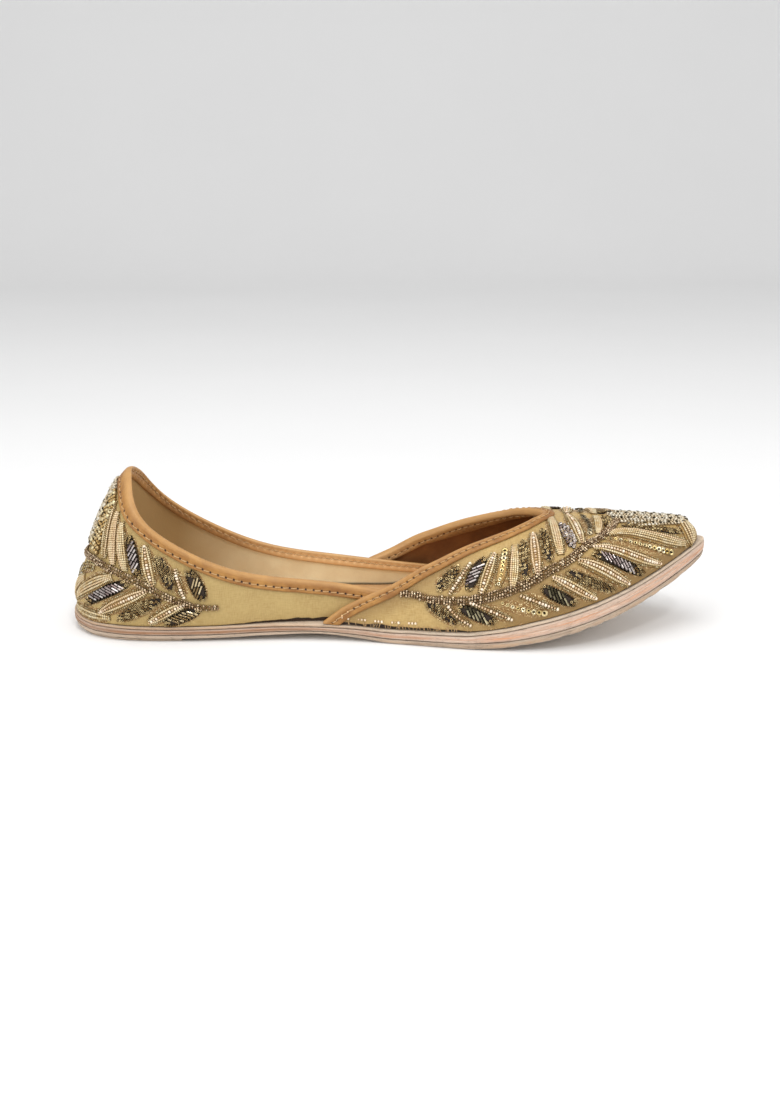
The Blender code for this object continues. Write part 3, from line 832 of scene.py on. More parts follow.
def vamp_layer(name, outside, inside, tuck, material, every=1):
    """One layer of the vamp between two depths in its wall, meshed at every place or fewer. A tuck is the
    rows of a turned-in lower edge."""
    throat = THROAT_CUT[: THROAT_PLACES // 2 + 1 : every]
    toe = throat[-1, 0] + (HALF_GIRTH - throat[-1, 0]) * np.linspace(0, 1, TOE_STATIONS // every)[1:] ** 0.9
    girths = np.r_[throat[:, 0], toe]
    angles = np.r_[throat[:, 1], np.full(len(toe), math.pi / 2)]
    lift = np.minimum(cloth_lift(girths), wing_end_room(angles)) if tuck else 0 * girths
    levels = VAMP_LEVELS // every
    outer, outer_lay = vamp_grid(girths, angles, outside, lift, levels)
    inner, inner_lay = vamp_grid(girths, angles, inside, lift, levels)
    for reach, drop in tuck:
        outer = np.concatenate([turned_in(girths, outer[0], reach, drop)[None], outer])
        outer_lay = np.concatenate([outer_lay[:1] - (0, reach + drop, 0), outer_lay])
    bm = bmesh.new()
    for side in (1, -1):
        outer_grid = lay_grid(bm, outer * [1, side, 1], outer_lay, satin_brown_and_painted_shade(outer_lay))
        inner_grid = lay_grid(bm, inner * [1, side, 1], inner_lay)
        close_cloth(bm, outer_grid, inner_grid, len(tuck), len(throat), [0])
    return finished(name, bm, material)


def weave_effect():
    """Fine plain weave: a height from its crossing threads, and slubs of tone along both of them."""
    sockets = {"Place": ("Vector", None), "Threads": ("Float", 2.0)}
    tree, given, out = effect("plain weave", sockets, ["Height", "Slub", "Cloud"])
    places = three_parts(tree, given["Place"])
    turns = times(tree, given["Threads"], 2 * math.pi)
    warp = maths(tree, "SINE", times(tree, places[0], turns))
    weft = maths(tree, "SINE", times(tree, places[1], turns))
    checks = times(tree, warp, weft)
    tree.links.new(spread(tree, checks, -1.0, 1.0), out["Height"])
    along = cloudy(tree, stretched(tree, given["Place"], (0.35, 2.6, 1.0)), 1.0, 3.0, 0.6)
    across = cloudy(tree, stretched(tree, given["Place"], (2.6, 0.35, 1.0)), 1.0, 3.0, 0.6)
    tree.links.new(spread(tree, maths(tree, "ADD", along, across), 0.7, 1.3), out["Slub"])
    tree.links.new(spread(tree, cloudy(tree, given["Place"], 0.06, 3.0), 0.35, 0.65), out["Cloud"])
    return tree


WEAVE = weave_effect()


def cloth(name, dark, light, slub, shade, threads, depth, sheen, roughness):
    """Woven cloth in two tones with slubs in a third, with painted shade in the low places of its weave, and
    a shade colour painted where its marks are. Threads are to the millimetre."""
    material, tree, shader = finish(
        name,
        Roughness=roughness,
        Specular_IOR_Level=0.35,
        Sheen_Weight=sheen,
        Sheen_Roughness=0.35,
        Sheen_Tint=light,
    )
    weave = placed(tree, WEAVE, {"Place": named(tree, "lay", "Vector"), "Threads": threads})
    colour = blended(tree, weave["Cloud"], dark, light)
    colour = blended(tree, times(tree, weave["Slub"], 0.7), colour, slub)
    # painted shade in the low places of the weave
    low = times(tree, spread(tree, weave["Height"], 0.5, 0.0), 0.2)
    colour = blended(tree, low, colour, dark)
    # the marks' shade colour is painted shade, and on the satin partly its own brown
    shaded = times(tree, named(tree, "mark"), 0.9)
    paint(tree, shader, blended(tree, shaded, colour, shade))
    raise_surface(tree, shader, weave["Height"], depth)
    return material


satin = cloth(
    "gold satin",
    dark=rgb(170, 136, 78),
    light=rgb(192, 158, 96),
    slub=rgb(218, 190, 130),
    # the colour of the marks: painted shade, and towards the toe partly the satin's own brown
    shade=rgb(118, 84, 42),
    threads=2.6,
    depth=0.06,
    sheen=0.25,
    roughness=0.42,
)
# Rows of a cloth's turned-in lower edge: how far in each lies, and how far down.
fold_under = [(0.2, 0.14), (0.55, 0.24), (1.3, 0.24)]
vamp_cloth = vamp_layer("vamp_satin", 0.0, -CLOTH, fold_under, satin)
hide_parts("vamp")


def lining_leather(name, dark, light, pebble, depth, foot, heel):
    """Thin dressed leather, painted dark along its foot as shade in the gap under the cloth's lifted edge,
    and painted darker round the heel as shade inside the heel.
    """
    material, tree, shader, colour = dressed_leather(name, dark, light, pebble, depth)
    lay = three_parts(tree, named(tree, "lay", "Vector"))
    # painted shade, darker towards the back of the heel
    colour = blended(tree, spread(tree, maths(tree, "ABSOLUTE", lay[0]), 100.0, 52.0), colour, heel)
    # painted shade along the foot, in the gap under the cloth's lifted lower edge
    paint(tree, shader, blended(tree, spread(tree, lay[1], 2.6, 1.4), colour, foot))
    return material


brown = rgb(126, 80, 44)
# the last two colours are painted shade: along the foot, and round the heel
brown_lining = lining_leather("vamp lining", brown, rgb(150, 100, 58), 0.8, 0.08, rgb(44, 28, 16), brown)
vamp_lining = vamp_layer("vamp_lining", -CLOTH - LINING_EASE, -VAMP_WALL, [], brown_lining, 2)

# ------------------------ vamp binding
# A narrow strip of tan leather is folded over the vamp's cut edge from wing to wing, pressed down, and
# sewn through with one row of pale thread that sinks into its holes.

WING_SLOPE = math.radians(45)
HOLE_RADIUS = 0.5
HOLE_DEPTH = 0.42
HOLE_STEPS = np.array([-0.65, -0.4, -0.2, 0.0, 0.2, 0.4, 0.65])  # a mesh has places here round a hole
FOLD_TURN = 11  # points round the fold
FOLD_THINNER = 0.4  # the strip is pinched this much on each face of its fold
TROUGH = 0.14  # the strip is pressed in this deep along its seam
THREAD = 0.2  # its radius
THREAD_SLANT = 0.15  # a stitch runs this much to each side of the row
LONGER_INSIDE = 4.5  # the vamp's strip runs this much further down inside, round the throat
LONGER_FROM = (45.0, 65.0)  # it gets longer between these, measured along it from a wing's end
VAMP_PITCH = 2.9
VAMP_SEAM = 1.7  # the row of holes runs this far below the wall's cut edge


def along_seam(length, pitch):
    """Holes along a seam, and places for a mesh that are closer together round each hole."""
    holes = np.arange(0.7 * pitch, length - 0.3 * pitch, pitch)
    near = holes[:, None] + np.r_[HOLE_STEPS, pitch / 2]
    return holes, np.unique(np.clip(np.r_[0.0, near.ravel(), length], 0.0, length).round(3))


def fold_profile(wall, outer_seam, inner_seam):
    """(down from the wall's cut edge, outwards from its outer face, how pressed down it is) round a strip,
    from its lower outer edge over the fold and down inside, then back along the wall."""
    near, far = GAP, GAP + BINDING_SKIN
    plain = np.r_[0.1, 0.5, 1.0, BINDING_DEPTH - np.array([0.3, 0.06, 0.0])]
    outer, inner = (np.unique(np.r_[plain, seam + HOLE_STEPS].round(3)) for seam in (outer_seam, inner_seam))
    turn = np.linspace(0, math.pi, FOLD_TURN)[1:-1]
    thinner = {d: FOLD_THINNER * max(1 - d / 2.4, 0) ** 1.5 for d in (*outer, *inner)}
    half = wall / 2 + far - thinner[outer[0]]
    over = np.column_stack([0.1 - 1.0 * np.sin(turn) ** 0.85, -wall / 2 + half * np.cos(turn)])
    rows = [(d, far - thinner[d], 1) for d in outer[::-1]] + [(*p, 0) for p in over]
    rows += [(d, thinner[d] - wall - far, -1) for d in inner]
    rows += [(BINDING_DEPTH, -wall - near, 0), (-near, -wall - near, 0)]
    return np.array(rows + [(-near, near, 0), (BINDING_DEPTH, near, 0)])


def pressed(profile, places, holes, outer_seam, inner_seam, seed):
    """How far the strip's faces sink at the seam, stand up beside it and thin out at the edge, and where
    its holes are."""
    depth, face = profile[None, :, 0], profile[None, :, 2]
    seam = np.where(face > 0, outer_seam, inner_seam)
    to_hole = np.abs(places[:, None] - holes).min(1)[:, None]
    away = np.hypot(to_hole, depth - seam)
    hole = np.exp(-((away / HOLE_RADIUS) ** 2))
    trough = TROUGH * np.exp(-(((depth - seam) / 0.55) ** 2))
    puffed = 0.06 * np.cos(2 * math.pi * to_hole / np.diff(holes).mean())
    puffed = puffed * np.exp(-(((depth - seam) / 1.3) ** 2))
    thin = 0.42 * ramp(depth, BINDING_DEPTH - 0.35, BINDING_DEPTH) ** 2
    wavy = 0.05 * uneven(places, seed, 23.0)[:, None]
    sink = HOLE_DEPTH * hole + trough + puffed + thin + wavy
    return -sink * face, hole * (face != 0)


def folded_strip(name, points, lay, marks, material):
    """A binding from its closed profile at each place along an edge, capped at both ends."""
    bm = bmesh.new()
    grid = lay_grid(bm, points, lay, marks)
    skin(bm, grid, closed=True)
    for profile in (grid[0], grid[-1]):
        bm.faces.new(profile)
    return finished(name, bm, material, sharp=75.0)


def strip_lay(places, profile):
    """Where patterns lie on a strip: along it from its middle, and round its profile."""
    round_it = chords(profile[:, :2])
    along, across = np.broadcast_arrays(places[:, None] - places[-1] / 2, round_it[None])
    return np.stack([along, across, np.broadcast_to(profile[None, :, 0], along.shape)], -1)


def binding_leather(name, dark, light, edge, inside_painted_light):
    """Thin tan leather: a painted highlight along the fold, with fine wrinkles along it, dark in the holes,
    darker towards the lower edge, and painted lighter inside the shoe towards the strip's ends, as light
    falling there."""
    material, tree, shader, colour = dressed_leather(name, dark, light, 0.7, 0.1, 0.45)
    place = named(tree, "lay", "Vector")
    wrinkle = cloudy(tree, stretched(tree, place, (0.16, 1.5, 1.5)), 1.0, 4.0, 0.6)
    colour = blended(tree, times(tree, spread(tree, wrinkle, 0.5, 0.66), 0.6), colour, dark)
    lay = three_parts(tree, place)
    # painted highlight along the fold
    fold = times(tree, spread(tree, lay[2], 1.0, -0.6), 0.5)
    colour = blended(tree, fold, colour, edge)
    # painted light on the inside face towards the strip's ends, where that face is in shade
    ends = spread(tree, maths(tree, "ABSOLUTE", lay[0]), 62.0, 96.0, 0.25, 0.95)
    inside = times(tree, spread(tree, lay[1], BINDING_DEPTH + 2.0, BINDING_DEPTH + 4.5), ends)
    colour = blended(tree, inside, colour, inside_painted_light)
    # darker towards the lower edge
    low = times(tree, spread(tree, lay[2], BINDING_DEPTH - 0.6, BINDING_DEPTH), 0.55)
    colour = blended(tree, low, colour, dark)
    hole = spread(tree, named(tree, "mark"), 0.25, 0.75)
    paint(tree, shader, blended(tree, hole, colour, rgb(42, 24, 14)))
    return material


VAMP_RUN = chords(vamp_surface(*THROAT_CUT.T, 0.0))
VAMP_DOWN = down_from_edge(THROAT_CUT)


def vamp_binding_at(places, depth, grow):
    """Points of the vamp's binding at distances along the cut edge and down from it. Near a wing's end its
    width turns to lie along the sole, so that the strip is cut level."""
    at = np.column_stack([np.interp(places, VAMP_RUN, column) for column in THROAT_CUT.T])
    down = unit(np.column_stack([np.interp(places, VAMP_RUN, column) for column in VAMP_DOWN.T]))
    from_end = np.minimum(places, VAMP_RUN[-1] - places)
    level = np.clip(1 - from_end / BINDING_DEPTH * math.tan(WING_SLOPE), 0, 1)[:, None]
    turned = down * (1 - level) + level * (1 / math.sin(WING_SLOPE), 0, 0)
    longer = LONGER_INSIDE * ramp(from_end, *LONGER_FROM) * ramp(depth, 2.4, 3.8)
    longer = longer * (np.asarray(grow) < -VAMP_WALL / 2)
    depth = (depth + longer)[:, None]
    place = stepped(vamp_surface, at, np.where(depth > 0, turned, down) * depth)
    return vamp_surface(place[:, 0], np.clip(place[:, 1], 0, math.pi), grow)


def shape_tree(name, sockets):
    """An empty geometry tree with named inputs, a number or None for an object or a material."""
    tree = bpy.data.node_groups.new(name, "GeometryNodeTree")
    tree.interface.new_socket("Geometry", in_out="INPUT", socket_type="NodeSocketGeometry")
    for socket, value in sockets.items():
        kind = {int: "Int", float: "Float"}.get(type(value), socket if value is None else "Float")
        made = tree.interface.new_socket(socket, in_out="INPUT", socket_type="NodeSocket" + kind)
        if value is not None:
            made.default_value = value
    tree.interface.new_socket("Geometry", in_out="OUTPUT", socket_type="NodeSocketGeometry")
    return tree, tree.nodes.new("NodeGroupInput").outputs, tree.nodes.new("NodeGroupOutput").inputs[0]


def kept(tree, shape, name, value, domain="POINT"):
    """A number kept on a shape's points, or on each curve or instance."""
    inputs = {0: shape, 2: name, 3: value}
    return put(tree, "GeometryNodeStoreNamedAttribute", inputs, data_type="FLOAT", domain=domain).outputs[0]


def kept_value(tree, name, kind="FLOAT"):
    return put(tree, "GeometryNodeInputNamedAttribute", {0: name}, data_type=kind).outputs[0]


def chance(tree, low, high, seed):
    """A random number for each point, curve or instance."""
    return put(tree, "FunctionNodeRandomValue", {2: low, 3: high, "Seed": seed}).outputs[1]


def resampled(tree, curve, step):
    inputs = {0: curve, "Length": step}
    return put(tree, "GeometryNodeResampleCurve", inputs, mode="LENGTH").outputs[0]


def crowned(tree, shape, share):
    """Keeps how far each point faces out from the shoe, times a share."""
    normal = put(tree, "GeometryNodeInputNormal").outputs[0]
    inputs = {0: normal, 1: kept_value(tree, "outward", "FLOAT_VECTOR")}
    facing = put(tree, "ShaderNodeVectorMath", inputs, operation="DOT_PRODUCT").outputs["Value"]
    return kept(tree, shape, "crown", times(tree, facing, share))


def wire_tree():
    """A round wire along every line of a mesh, each with a tone of its own; ridges repeat along it like
    the turns of a coil."""
    sockets = {"Step": 0.5, "Turn": 1.0, "Ridge": 0.0, "Sides": 7, "Seed": 1, "Material": None}
    tree, given, out = shape_tree("wire along lines", sockets)
    curve = put(tree, "GeometryNodeMeshToCurve", {0: given["Geometry"]}).outputs[0]
    curve = kept(tree, curve, "tone", chance(tree, 0.0, 1.0, given["Seed"]), "CURVE")
    curve = resampled(tree, curve, given["Step"])
    run = times(tree, put(tree, "GeometryNodeSplineParameter").outputs["Length"], 2 * math.pi)
    turns = maths(tree, "SINE", maths(tree, "DIVIDE", run, given["Turn"]))
    ridge = maths(tree, "ADD", times(tree, turns, given["Ridge"]), 1.0)
    trough = times(tree, maths(tree, "SUBTRACT", turns, 1.0), given["Ridge"])
    curve = kept(tree, curve, "crest", maths(tree, "ADD", times(tree, trough, 2.0), 1.0))
    profile = put(tree, "GeometryNodeCurvePrimitiveCircle", {0: given["Sides"], 4: 1.0}).outputs[0]
    inputs = {0: curve, 1: profile, 2: times(tree, kept_value(tree, "size"), ridge), 3: True}
    wire = put(tree, "GeometryNodeCurveToMesh", inputs).outputs[0]
    wire = put(tree, "GeometryNodeSetShadeSmooth", {0: wire}).outputs[0]
    wire = crowned(tree, wire, kept_value(tree, "crest"))
    wire = put(tree, "GeometryNodeRealizeInstances", {0: wire}).outputs[0]
    wire = put(tree, "GeometryNodeSetMaterial", {0: wire, 2: given["Material"]}).outputs[0]
    tree.links.new(wire, out)
    return tree


def lifted(points, out, lift, size):
    """A line of one size, raised off the face that its points lie on."""
    return points + out * lift, out, np.full(len(points), size)


def mirrored(lines):
    """Lines for both sides of the shoe, from those of one side."""
    flip = np.array([1, -1, 1])
    return lines + [(points * flip, out * flip, size) for points, out, size in lines]


def worked(name, lines, tree, values):
    """A geometry tree run over lines sewn on the shoe, as a plain mesh that rides on it. A line is its
    points and outward directions in millimetres and its size at each point."""
    points = np.vstack([line[0] for line in lines])
    ends = np.cumsum([len(line[0]) for line in lines])
    edges = [(i, i + 1) for i in range(len(points) - 1) if i + 1 not in set(ends.tolist())]
    mesh = bpy.data.meshes.new(name)
    mesh.from_pydata(((points - (LENGTH / 2, 0, 0)) * MM).tolist(), edges, [])
    outward = mesh.attributes.new("outward", "FLOAT_VECTOR", "POINT")
    outward.data.foreach_set("vector", np.vstack([line[1] for line in lines]).ravel())
    size = mesh.attributes.new("size", "FLOAT", "POINT")
    size.data.foreach_set("value", np.concatenate([np.broadcast_to(s, len(p)) for p, _, s in lines]) * MM)
    source = bpy.data.objects.new(name + "_lines", mesh)
    bpy.context.scene.collection.objects.link(source)
    modifier = source.modifiers.new(tree.name, "NODES")
    modifier.node_group = tree
    for item in tree.interface.items_tree:
        if item.in_out == "INPUT" and item.name in values:
            modifier[item.identifier] = values[item.name]
    bpy.context.view_layer.update()
    plain = bpy.data.meshes.new_from_object(source.evaluated_get(bpy.context.evaluated_depsgraph_get()))
    bpy.data.objects.remove(source)
    plain.name = name
    return on_shoe(name, plain)


WIRE = wire_tree()


def seam_stitches(at, holes, pitch, seam, grow):
    """A thread between each two holes of a seam: out of one, over the leather and into the next."""
    steps = np.array([0.16, 0.27, 0.5, 0.73, 0.84])
    rise = np.array([-0.3, 0.06, 0.12, 0.06, -0.3])
    lines = []
    for hole in holes[:-1]:
        places = hole + steps * pitch
        depths = seam + THREAD_SLANT * np.linspace(-1, 1, len(steps))
        points = at(places, depths, grow + np.sign(grow + 0.5) * rise)
        out = unit(at(places, depths, grow + np.sign(grow + 0.5)) - points)
        lines.append((points, out, np.array([0.8, 1.0, 1.0, 1.0, 0.8]) * THREAD))
    return lines


# the last two colours: a painted highlight along the fold, and painted light inside
tan_binding = binding_leather(
    "tan binding leather", rgb(138, 90, 40), rgb(176, 127, 64), rgb(210, 164, 106), rgb(248, 206, 150)
)


def thread_finish():
    """Pale waxed cotton thread."""
    material, tree, shader = finish("pale thread", Roughness=0.6, Sheen_Weight=0.2)
    place = own_place(tree)
    tone = cloudy(tree, place, 900.0, 2.0)
    paint(tree, shader, blended(tree, tone, rgb(160, 116, 66), rgb(220, 186, 132)))
    raise_surface(tree, shader, cloudy(tree, place, 4000.0, 2.0), 0.05)
    return material


thread_values = {"Step": 0.3 * MM, "Material": thread_finish()}


def sewn_binding(name, at, length, wall, pitch, seam, inner_seam, seed):
    """A strip folded over a wall's cut edge, sewn through with a thread that shows on both its faces."""
    holes, places = along_seam(length, pitch)
    profile = fold_profile(wall, seam, inner_seam)
    sunk, marks = pressed(profile, places, holes, seam, inner_seam, seed)
    points = np.stack([at(places, row[0], row[1] + sunk[:, k]) for k, row in enumerate(profile)], 1)
    strip = folded_strip(name + "_strip", points, strip_lay(places, profile), marks, tan_binding)
    face = GAP + BINDING_SKIN - TROUGH
    thread = seam_stitches(at, holes, pitch, seam, face)
    thread += seam_stitches(at, holes, pitch, inner_seam, -wall - face)
    worked(name + "_stitches", thread, WIRE, thread_values)
    return strip


vamp_seams = VAMP_PITCH, VAMP_SEAM, VAMP_SEAM
vamp_binding = sewn_binding("vamp_binding", vamp_binding_at, VAMP_RUN[-1], VAMP_WALL, *vamp_seams, 5)
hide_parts("vamp_binding")

# ------------------------ quarter, cloth and lining
# The quarter is the back of the upper in one piece, from inside one wing round the heel to inside the
# other. It is plain woven cloth with a slight slub, over a smooth beige lining.

QUARTER_WALL = 1.6
QUARTER_CLOTH = 0.7  # the cloth's share of the wall
QUARTER_PLACES = 331
QUARTER_LEVELS = 36
RIB_SAMPLES = 1313
WING_SHADE = (3.95, 1.75)  # the painted shadow on the cloth darkens from this far from a wing's edge to that
RIB_CROWDING = 0.4  # places stand closer together round the heel
QUARTER_LIFT = table("girth lift", (0.0, 0.15), (78.0, 0.2), (95.0, 0.9), (112.0, 1.6), (130.0, 1.6))

# Ribs up the quarter, from the middle of the heel's back to its front end inside the vamp. Girth is the
# distance along the outline of the sole to the rib's foot, inset is how far in from that outline it
# stands, top_* is the finished edge of the collar, and belly is how far the wall swells out.
RIBS = table(
    "girth inset top_x top_y top_z belly",
    (0.0, 1.0, 24.8, 0.0, 63.7, 3.6),
    (9.0, 1.0, 25.6, 7.2, 61.9, 3.4),
    (18.0, 1.0, 26.8, 13.6, 58.4, 3.0),
    (27.0, 1.0, 28.3, 18.6, 54.4, 2.6),
    (36.0, 1.0, 31.0, 22.3, 50.2, 2.2),
    (46.0, 1.0, 36.0, 24.3, 45.0, 1.9),
    (58.0, 1.0, 44.5, 25.2, 39.0, 1.6),
    (71.0, 1.0, 56.5, 25.4, 32.6, 1.2),
    (86.0, 1.3, 71.0, 23.8, 27.2, 1.0),
    (103.0, 2.6, 87.5, 21.2, 24.0, 0.8),
    (119.0, 4.2, 104.0, 20.2, 22.1, 0.5),
    (135.0, 4.4, 120.0, 20.8, 19.9, 0.3),
    (150.0, 4.4, 134.0, 23.2, 17.6, 0.3),
    (164.0, 4.4, 147.0, 26.2, 15.4, 0.3),
)
FRONT_GIRTH = RIBS["girth"][-1]

# Soft ridges and troughs, as for the vamp, but with the height up the wall.
QUARTER_CREASES = [
    (-108.0, 9.0, 9.0, 2.6, 75.0, -0.3),
    (-99.0, 8.0, 10.0, 3.0, 80.0, 0.25),
    (-84.0, 16.0, 16.0, 4.0, 15.0, 0.25),
    (-66.0, 8.0, 12.0, 4.0, 10.0, -0.2),
    (70.0, 12.0, 14.0, 4.0, 20.0, 0.25),
    (96.0, 9.0, 9.0, 3.0, 75.0, -0.3),
]


def close_ribs():
    """The ribs read at close places: the foot's inset, the swell, and the line and slope of the cut edge."""
    names = list(RIBS)
    rows = np.column_stack([RIBS[name] for name in names])
    flip = np.array([-1 if name in ("girth", "top_y") else 1 for name in names])
    whole = np.vstack([rows[:0:-1] * flip, rows])
    places = np.linspace(-FRONT_GIRTH, FRONT_GIRTH, RIB_SAMPLES)
    girth, inset, *top, belly = spline(whole[:, 0], whole, places).T
    top = np.column_stack(top)
    foot_x, foot_y = edge_at(np.abs(girth), inset)
    foot = np.column_stack([foot_x, np.sign(girth) * foot_y, upper_foot(foot_x)])
    out = unit(np.cross((0, 0, 1), np.gradient(top, axis=0) * (1, 1, 0)))
    cut = top - unit(top - foot) * (GAP + BINDING_SKIN) + out * QUARTER_WALL / 2
    height = np.linalg.norm(cut - foot, axis=1)
    return girth, np.column_stack([inset, belly, cut, out, height])


CLOSE_GIRTH, CLOSE_RIBS = close_ribs()


def rib_at(girth):
    return np.stack([np.interp(girth, CLOSE_GIRTH, column) for column in CLOSE_RIBS.T], -1)


def rib_height(girth):
    """Length of a rib from its foot to the wall's cut edge."""
    return rib_at(girth)[..., 8]


def quarter_surface(girth, rise, grow):
    """Point up each rib; rise is 0 at the sole and 1 at the wall's cut edge, grow as for the vamp."""
    girth, rise, grow = np.broadcast_arrays(girth, rise, grow)
    rib = rib_at(girth)
    up = np.clip(rise, 0, 1) * rib[..., 8]
    grow = grow + relief(QUARTER_CREASES, girth, up) * np.clip(4 * rise * (1 - rise), 0, 1)
    foot_x, foot_y = edge_at(np.abs(girth), rib[..., 0] - grow)
    foot = np.stack([foot_x, np.where(girth < 0, -foot_y, foot_y), upper_foot(foot_x)], -1)
    out = rib[..., 5:8]
    cut = rib[..., 2:5] + out * grow[..., None]
    swell = ((1 - np.abs(2 * rise - 1) ** 3) * rib[..., 1])[..., None]
    return foot + (cut - foot) * rise[..., None] + out * swell


def painted_shadow_beside_wings(points):
    """How dark the cloth is painted beside the folded edge of each wing, from 0 to 1: a painted shadow under
    the wing's edge.
    """
    edge = vamp_surface(*THROAT_EDGE.T, 0.0)
    away = np.min([np.linalg.norm(points - spot, axis=-1) for spot in edge[::2]], axis=0)
    return ramp(away, *WING_SHADE) ** 2


def quarter_layer(name, outside, inside, tuck, material, every=1):
    """One layer of the quarter between two depths in its wall, meshed at every place or fewer. A tuck is
    the rows of a turned-in lower edge, which stands up off the sole towards the wings."""
    even = np.linspace(-1, 1, QUARTER_PLACES)[::every]
    girths = FRONT_GIRTH * ((1 - RIB_CROWDING) * even + RIB_CROWDING * even**3)
    lift = np.interp(np.abs(girths), QUARTER_LIFT["girth"], QUARTER_LIFT["lift"])
    lift = lift * (1 + 0.25 * uneven(girths, 41, 14.0)) * bool(tuck)
    rises = np.linspace(lift / rib_height(girths), 1, QUARTER_LEVELS // every)
    walls = []
    for grow in (outside, inside):
        up = rises * rib_height(girths)
        lay = np.stack([girths + 0 * up, up, np.full(up.shape, grow)], -1)
        walls.append([quarter_surface(girths, rises, grow), lay])
    foot = rib_at(girths)
    for reach, drop in tuck:
        x, half = edge_at(np.abs(girths), foot[:, 0] + reach)
        row = np.column_stack([x, np.sign(girths) * half, upper_foot(x) + lift - drop])
        walls[0][0] = np.concatenate([row[None], walls[0][0]])
        walls[0][1] = np.concatenate([walls[0][1][:1] - (0, reach + drop, 0), walls[0][1]])
    bm = bmesh.new()
    outer, inner = (lay_grid(bm, *wall, painted_shadow_beside_wings(wall[0]) if tuck else None) for wall in walls)
    close_cloth(bm, outer, inner, len(tuck), None, [0, -1])
    return finished(name, bm, material)


slubbed = cloth(
    "khaki gold cloth",
    dark=rgb(170, 140, 84),
    light=rgb(182, 154, 96),
    slub=rgb(204, 178, 122),
    # painted shadow beside the wings' folded edges
    shade=rgb(58, 34, 14),
    threads=2.2,
    depth=0.09,
    sheen=0.12,
    roughness=0.62,
)
quarter_cloth = quarter_layer("quarter_cloth_outer", 0.0, -QUARTER_CLOTH, fold_under, slubbed)
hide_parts("quarter")
beige = rgb(240, 222, 180), rgb(250, 236, 196)
# the last two colours are painted shade: along the foot, and round the heel
beige_lining = lining_leather("beige lining", *beige, 0.6, 0.05, rgb(52, 32, 16), rgb(184, 154, 106))
lining_depth = -QUARTER_CLOTH - LINING_EASE
quarter_lining = quarter_layer("quarter_lining", lining_depth, -QUARTER_WALL, [], beige_lining, 2)

# ------------------------ collar binding
# The same tan strip is folded over the quarter's cut edge. Its row of stitches runs close to the strip's
# lower edge outside, and nearer the fold inside.

COLLAR_PITCH = 3.15
COLLAR_SEAM = 2.5
COLLAR_SEAM_INSIDE = 1.2


def collar_at(places, depth, grow):
    """Points of the collar's binding at distances along the cut edge and down from it."""
    girth = np.interp(places, COLLAR_RUN, CLOSE_GIRTH)
    return quarter_surface(girth, 1 - depth / rib_height(girth), grow)


COLLAR_RUN = chords(CLOSE_RIBS[:, 2:5])
collar_seams = COLLAR_PITCH, COLLAR_SEAM, COLLAR_SEAM_INSIDE
collar_binding = sewn_binding("collar_binding", collar_at, COLLAR_RUN[-1], QUARTER_WALL, *collar_seams, 9)
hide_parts("collar_binding")

# ------------------------ embroidery, leaves
# Vamp and heel are embroidered by hand with a traditional leaf pattern, alike on both sides of the shoe. A
# bead stem runs along each side, and its leaves are filled in turn with antique metal beads, metal tubes,
# gilt coils, strings of pearls and sequins, over a padding of thread and a ground of fine gold knots.

# (filling, base, middle, tip, width). A place is x and the angle up the vamp's section.
VAMP_LEAVES = [
    ("beads", (146, 30), (150, 37), (155, 44), 4.4),
    ("pearls", (151, 27), (154.5, 35), (159, 46), 3.0),
    ("lilac tubes", (158, 28), (160.5, 38), (165, 49), 4.0),
    ("coils and pearls", (163, 26), (165.3, 37), (168.5, 51), 5.4),
    ("sequins and seeds", (169.4, 29), (171.1, 39), (172.6, 52), 4.4),
    ("coils", (174.8, 26), (175.8, 38), (176.6, 55), 5.0),
    ("beads", (180, 29), (179.8, 43), (180.3, 58), 3.6),
    ("coils and pearls", (184.5, 32), (184.1, 46), (184, 63), 5.6),
    ("beads", (189.3, 38), (188.5, 51), (188.2, 66), 3.8),
    ("coils", (193.8, 43), (192.9, 58), (192.4, 82), 5.2),
    ("lilac beads", (198.4, 47), (197.4, 59), (196, 71), 3.6),
    ("coils and pearls", (202.6, 51), (201.5, 66), (199.6, 88), 5.6),
    ("rings", (206, 58), (206.8, 70), (205.2, 85), 2.8),
    ("coils", (209.6, 59), (210.8, 73), (210.8, 87), 4.6),
    ("beads", (214, 64), (214.6, 75), (214, 86), 3.4),
    ("beads", (142, 22), (148, 14), (154.5, 6), 4.0),
    ("pearls", (150, 20), (153, 13), (159, 5), 3.0),
    ("dark tubes", (154.4, 18), (161, 12), (168.5, 5), 3.8),
    ("pearls", (159, 20), (166.5, 13.5), (174.5, 5.5), 3.0),
    ("sequins", (170, 18.5), (178.5, 11), (187, 5), 2.6),
    ("pearls", (178, 20), (184.5, 13.5), (192, 5.5), 2.8),
    ("dark tubes", (186, 23), (191.5, 15.5), (199.5, 5.5), 4.0),
    ("coils and pearls", (190.4, 28), (198, 19), (207, 4.5), 5.2),
    ("beads", (195.6, 31), (205, 19.5), (215, 4), 4.0),
    ("coils and pearls", (200.6, 37), (210.6, 25.5), (220.4, 5), 6.0),
    ("lilac tubes", (206, 41), (216, 30), (227, 7), 3.8),
    ("coils and pearls", (207, 46.5), (219.5, 36), (234, 8), 5.8),
    ("sequins", (210.6, 53), (224.5, 43.5), (238.5, 17), 2.8),
    ("coils", (213.5, 58.5), (228.5, 52.5), (245.2, 19), 6.8),
    ("beads", (219.5, 68), (232, 61), (244, 44), 3.2),
    ("coils", (246, 84), (247.4, 46), (249.2, 8), 8.0),
]

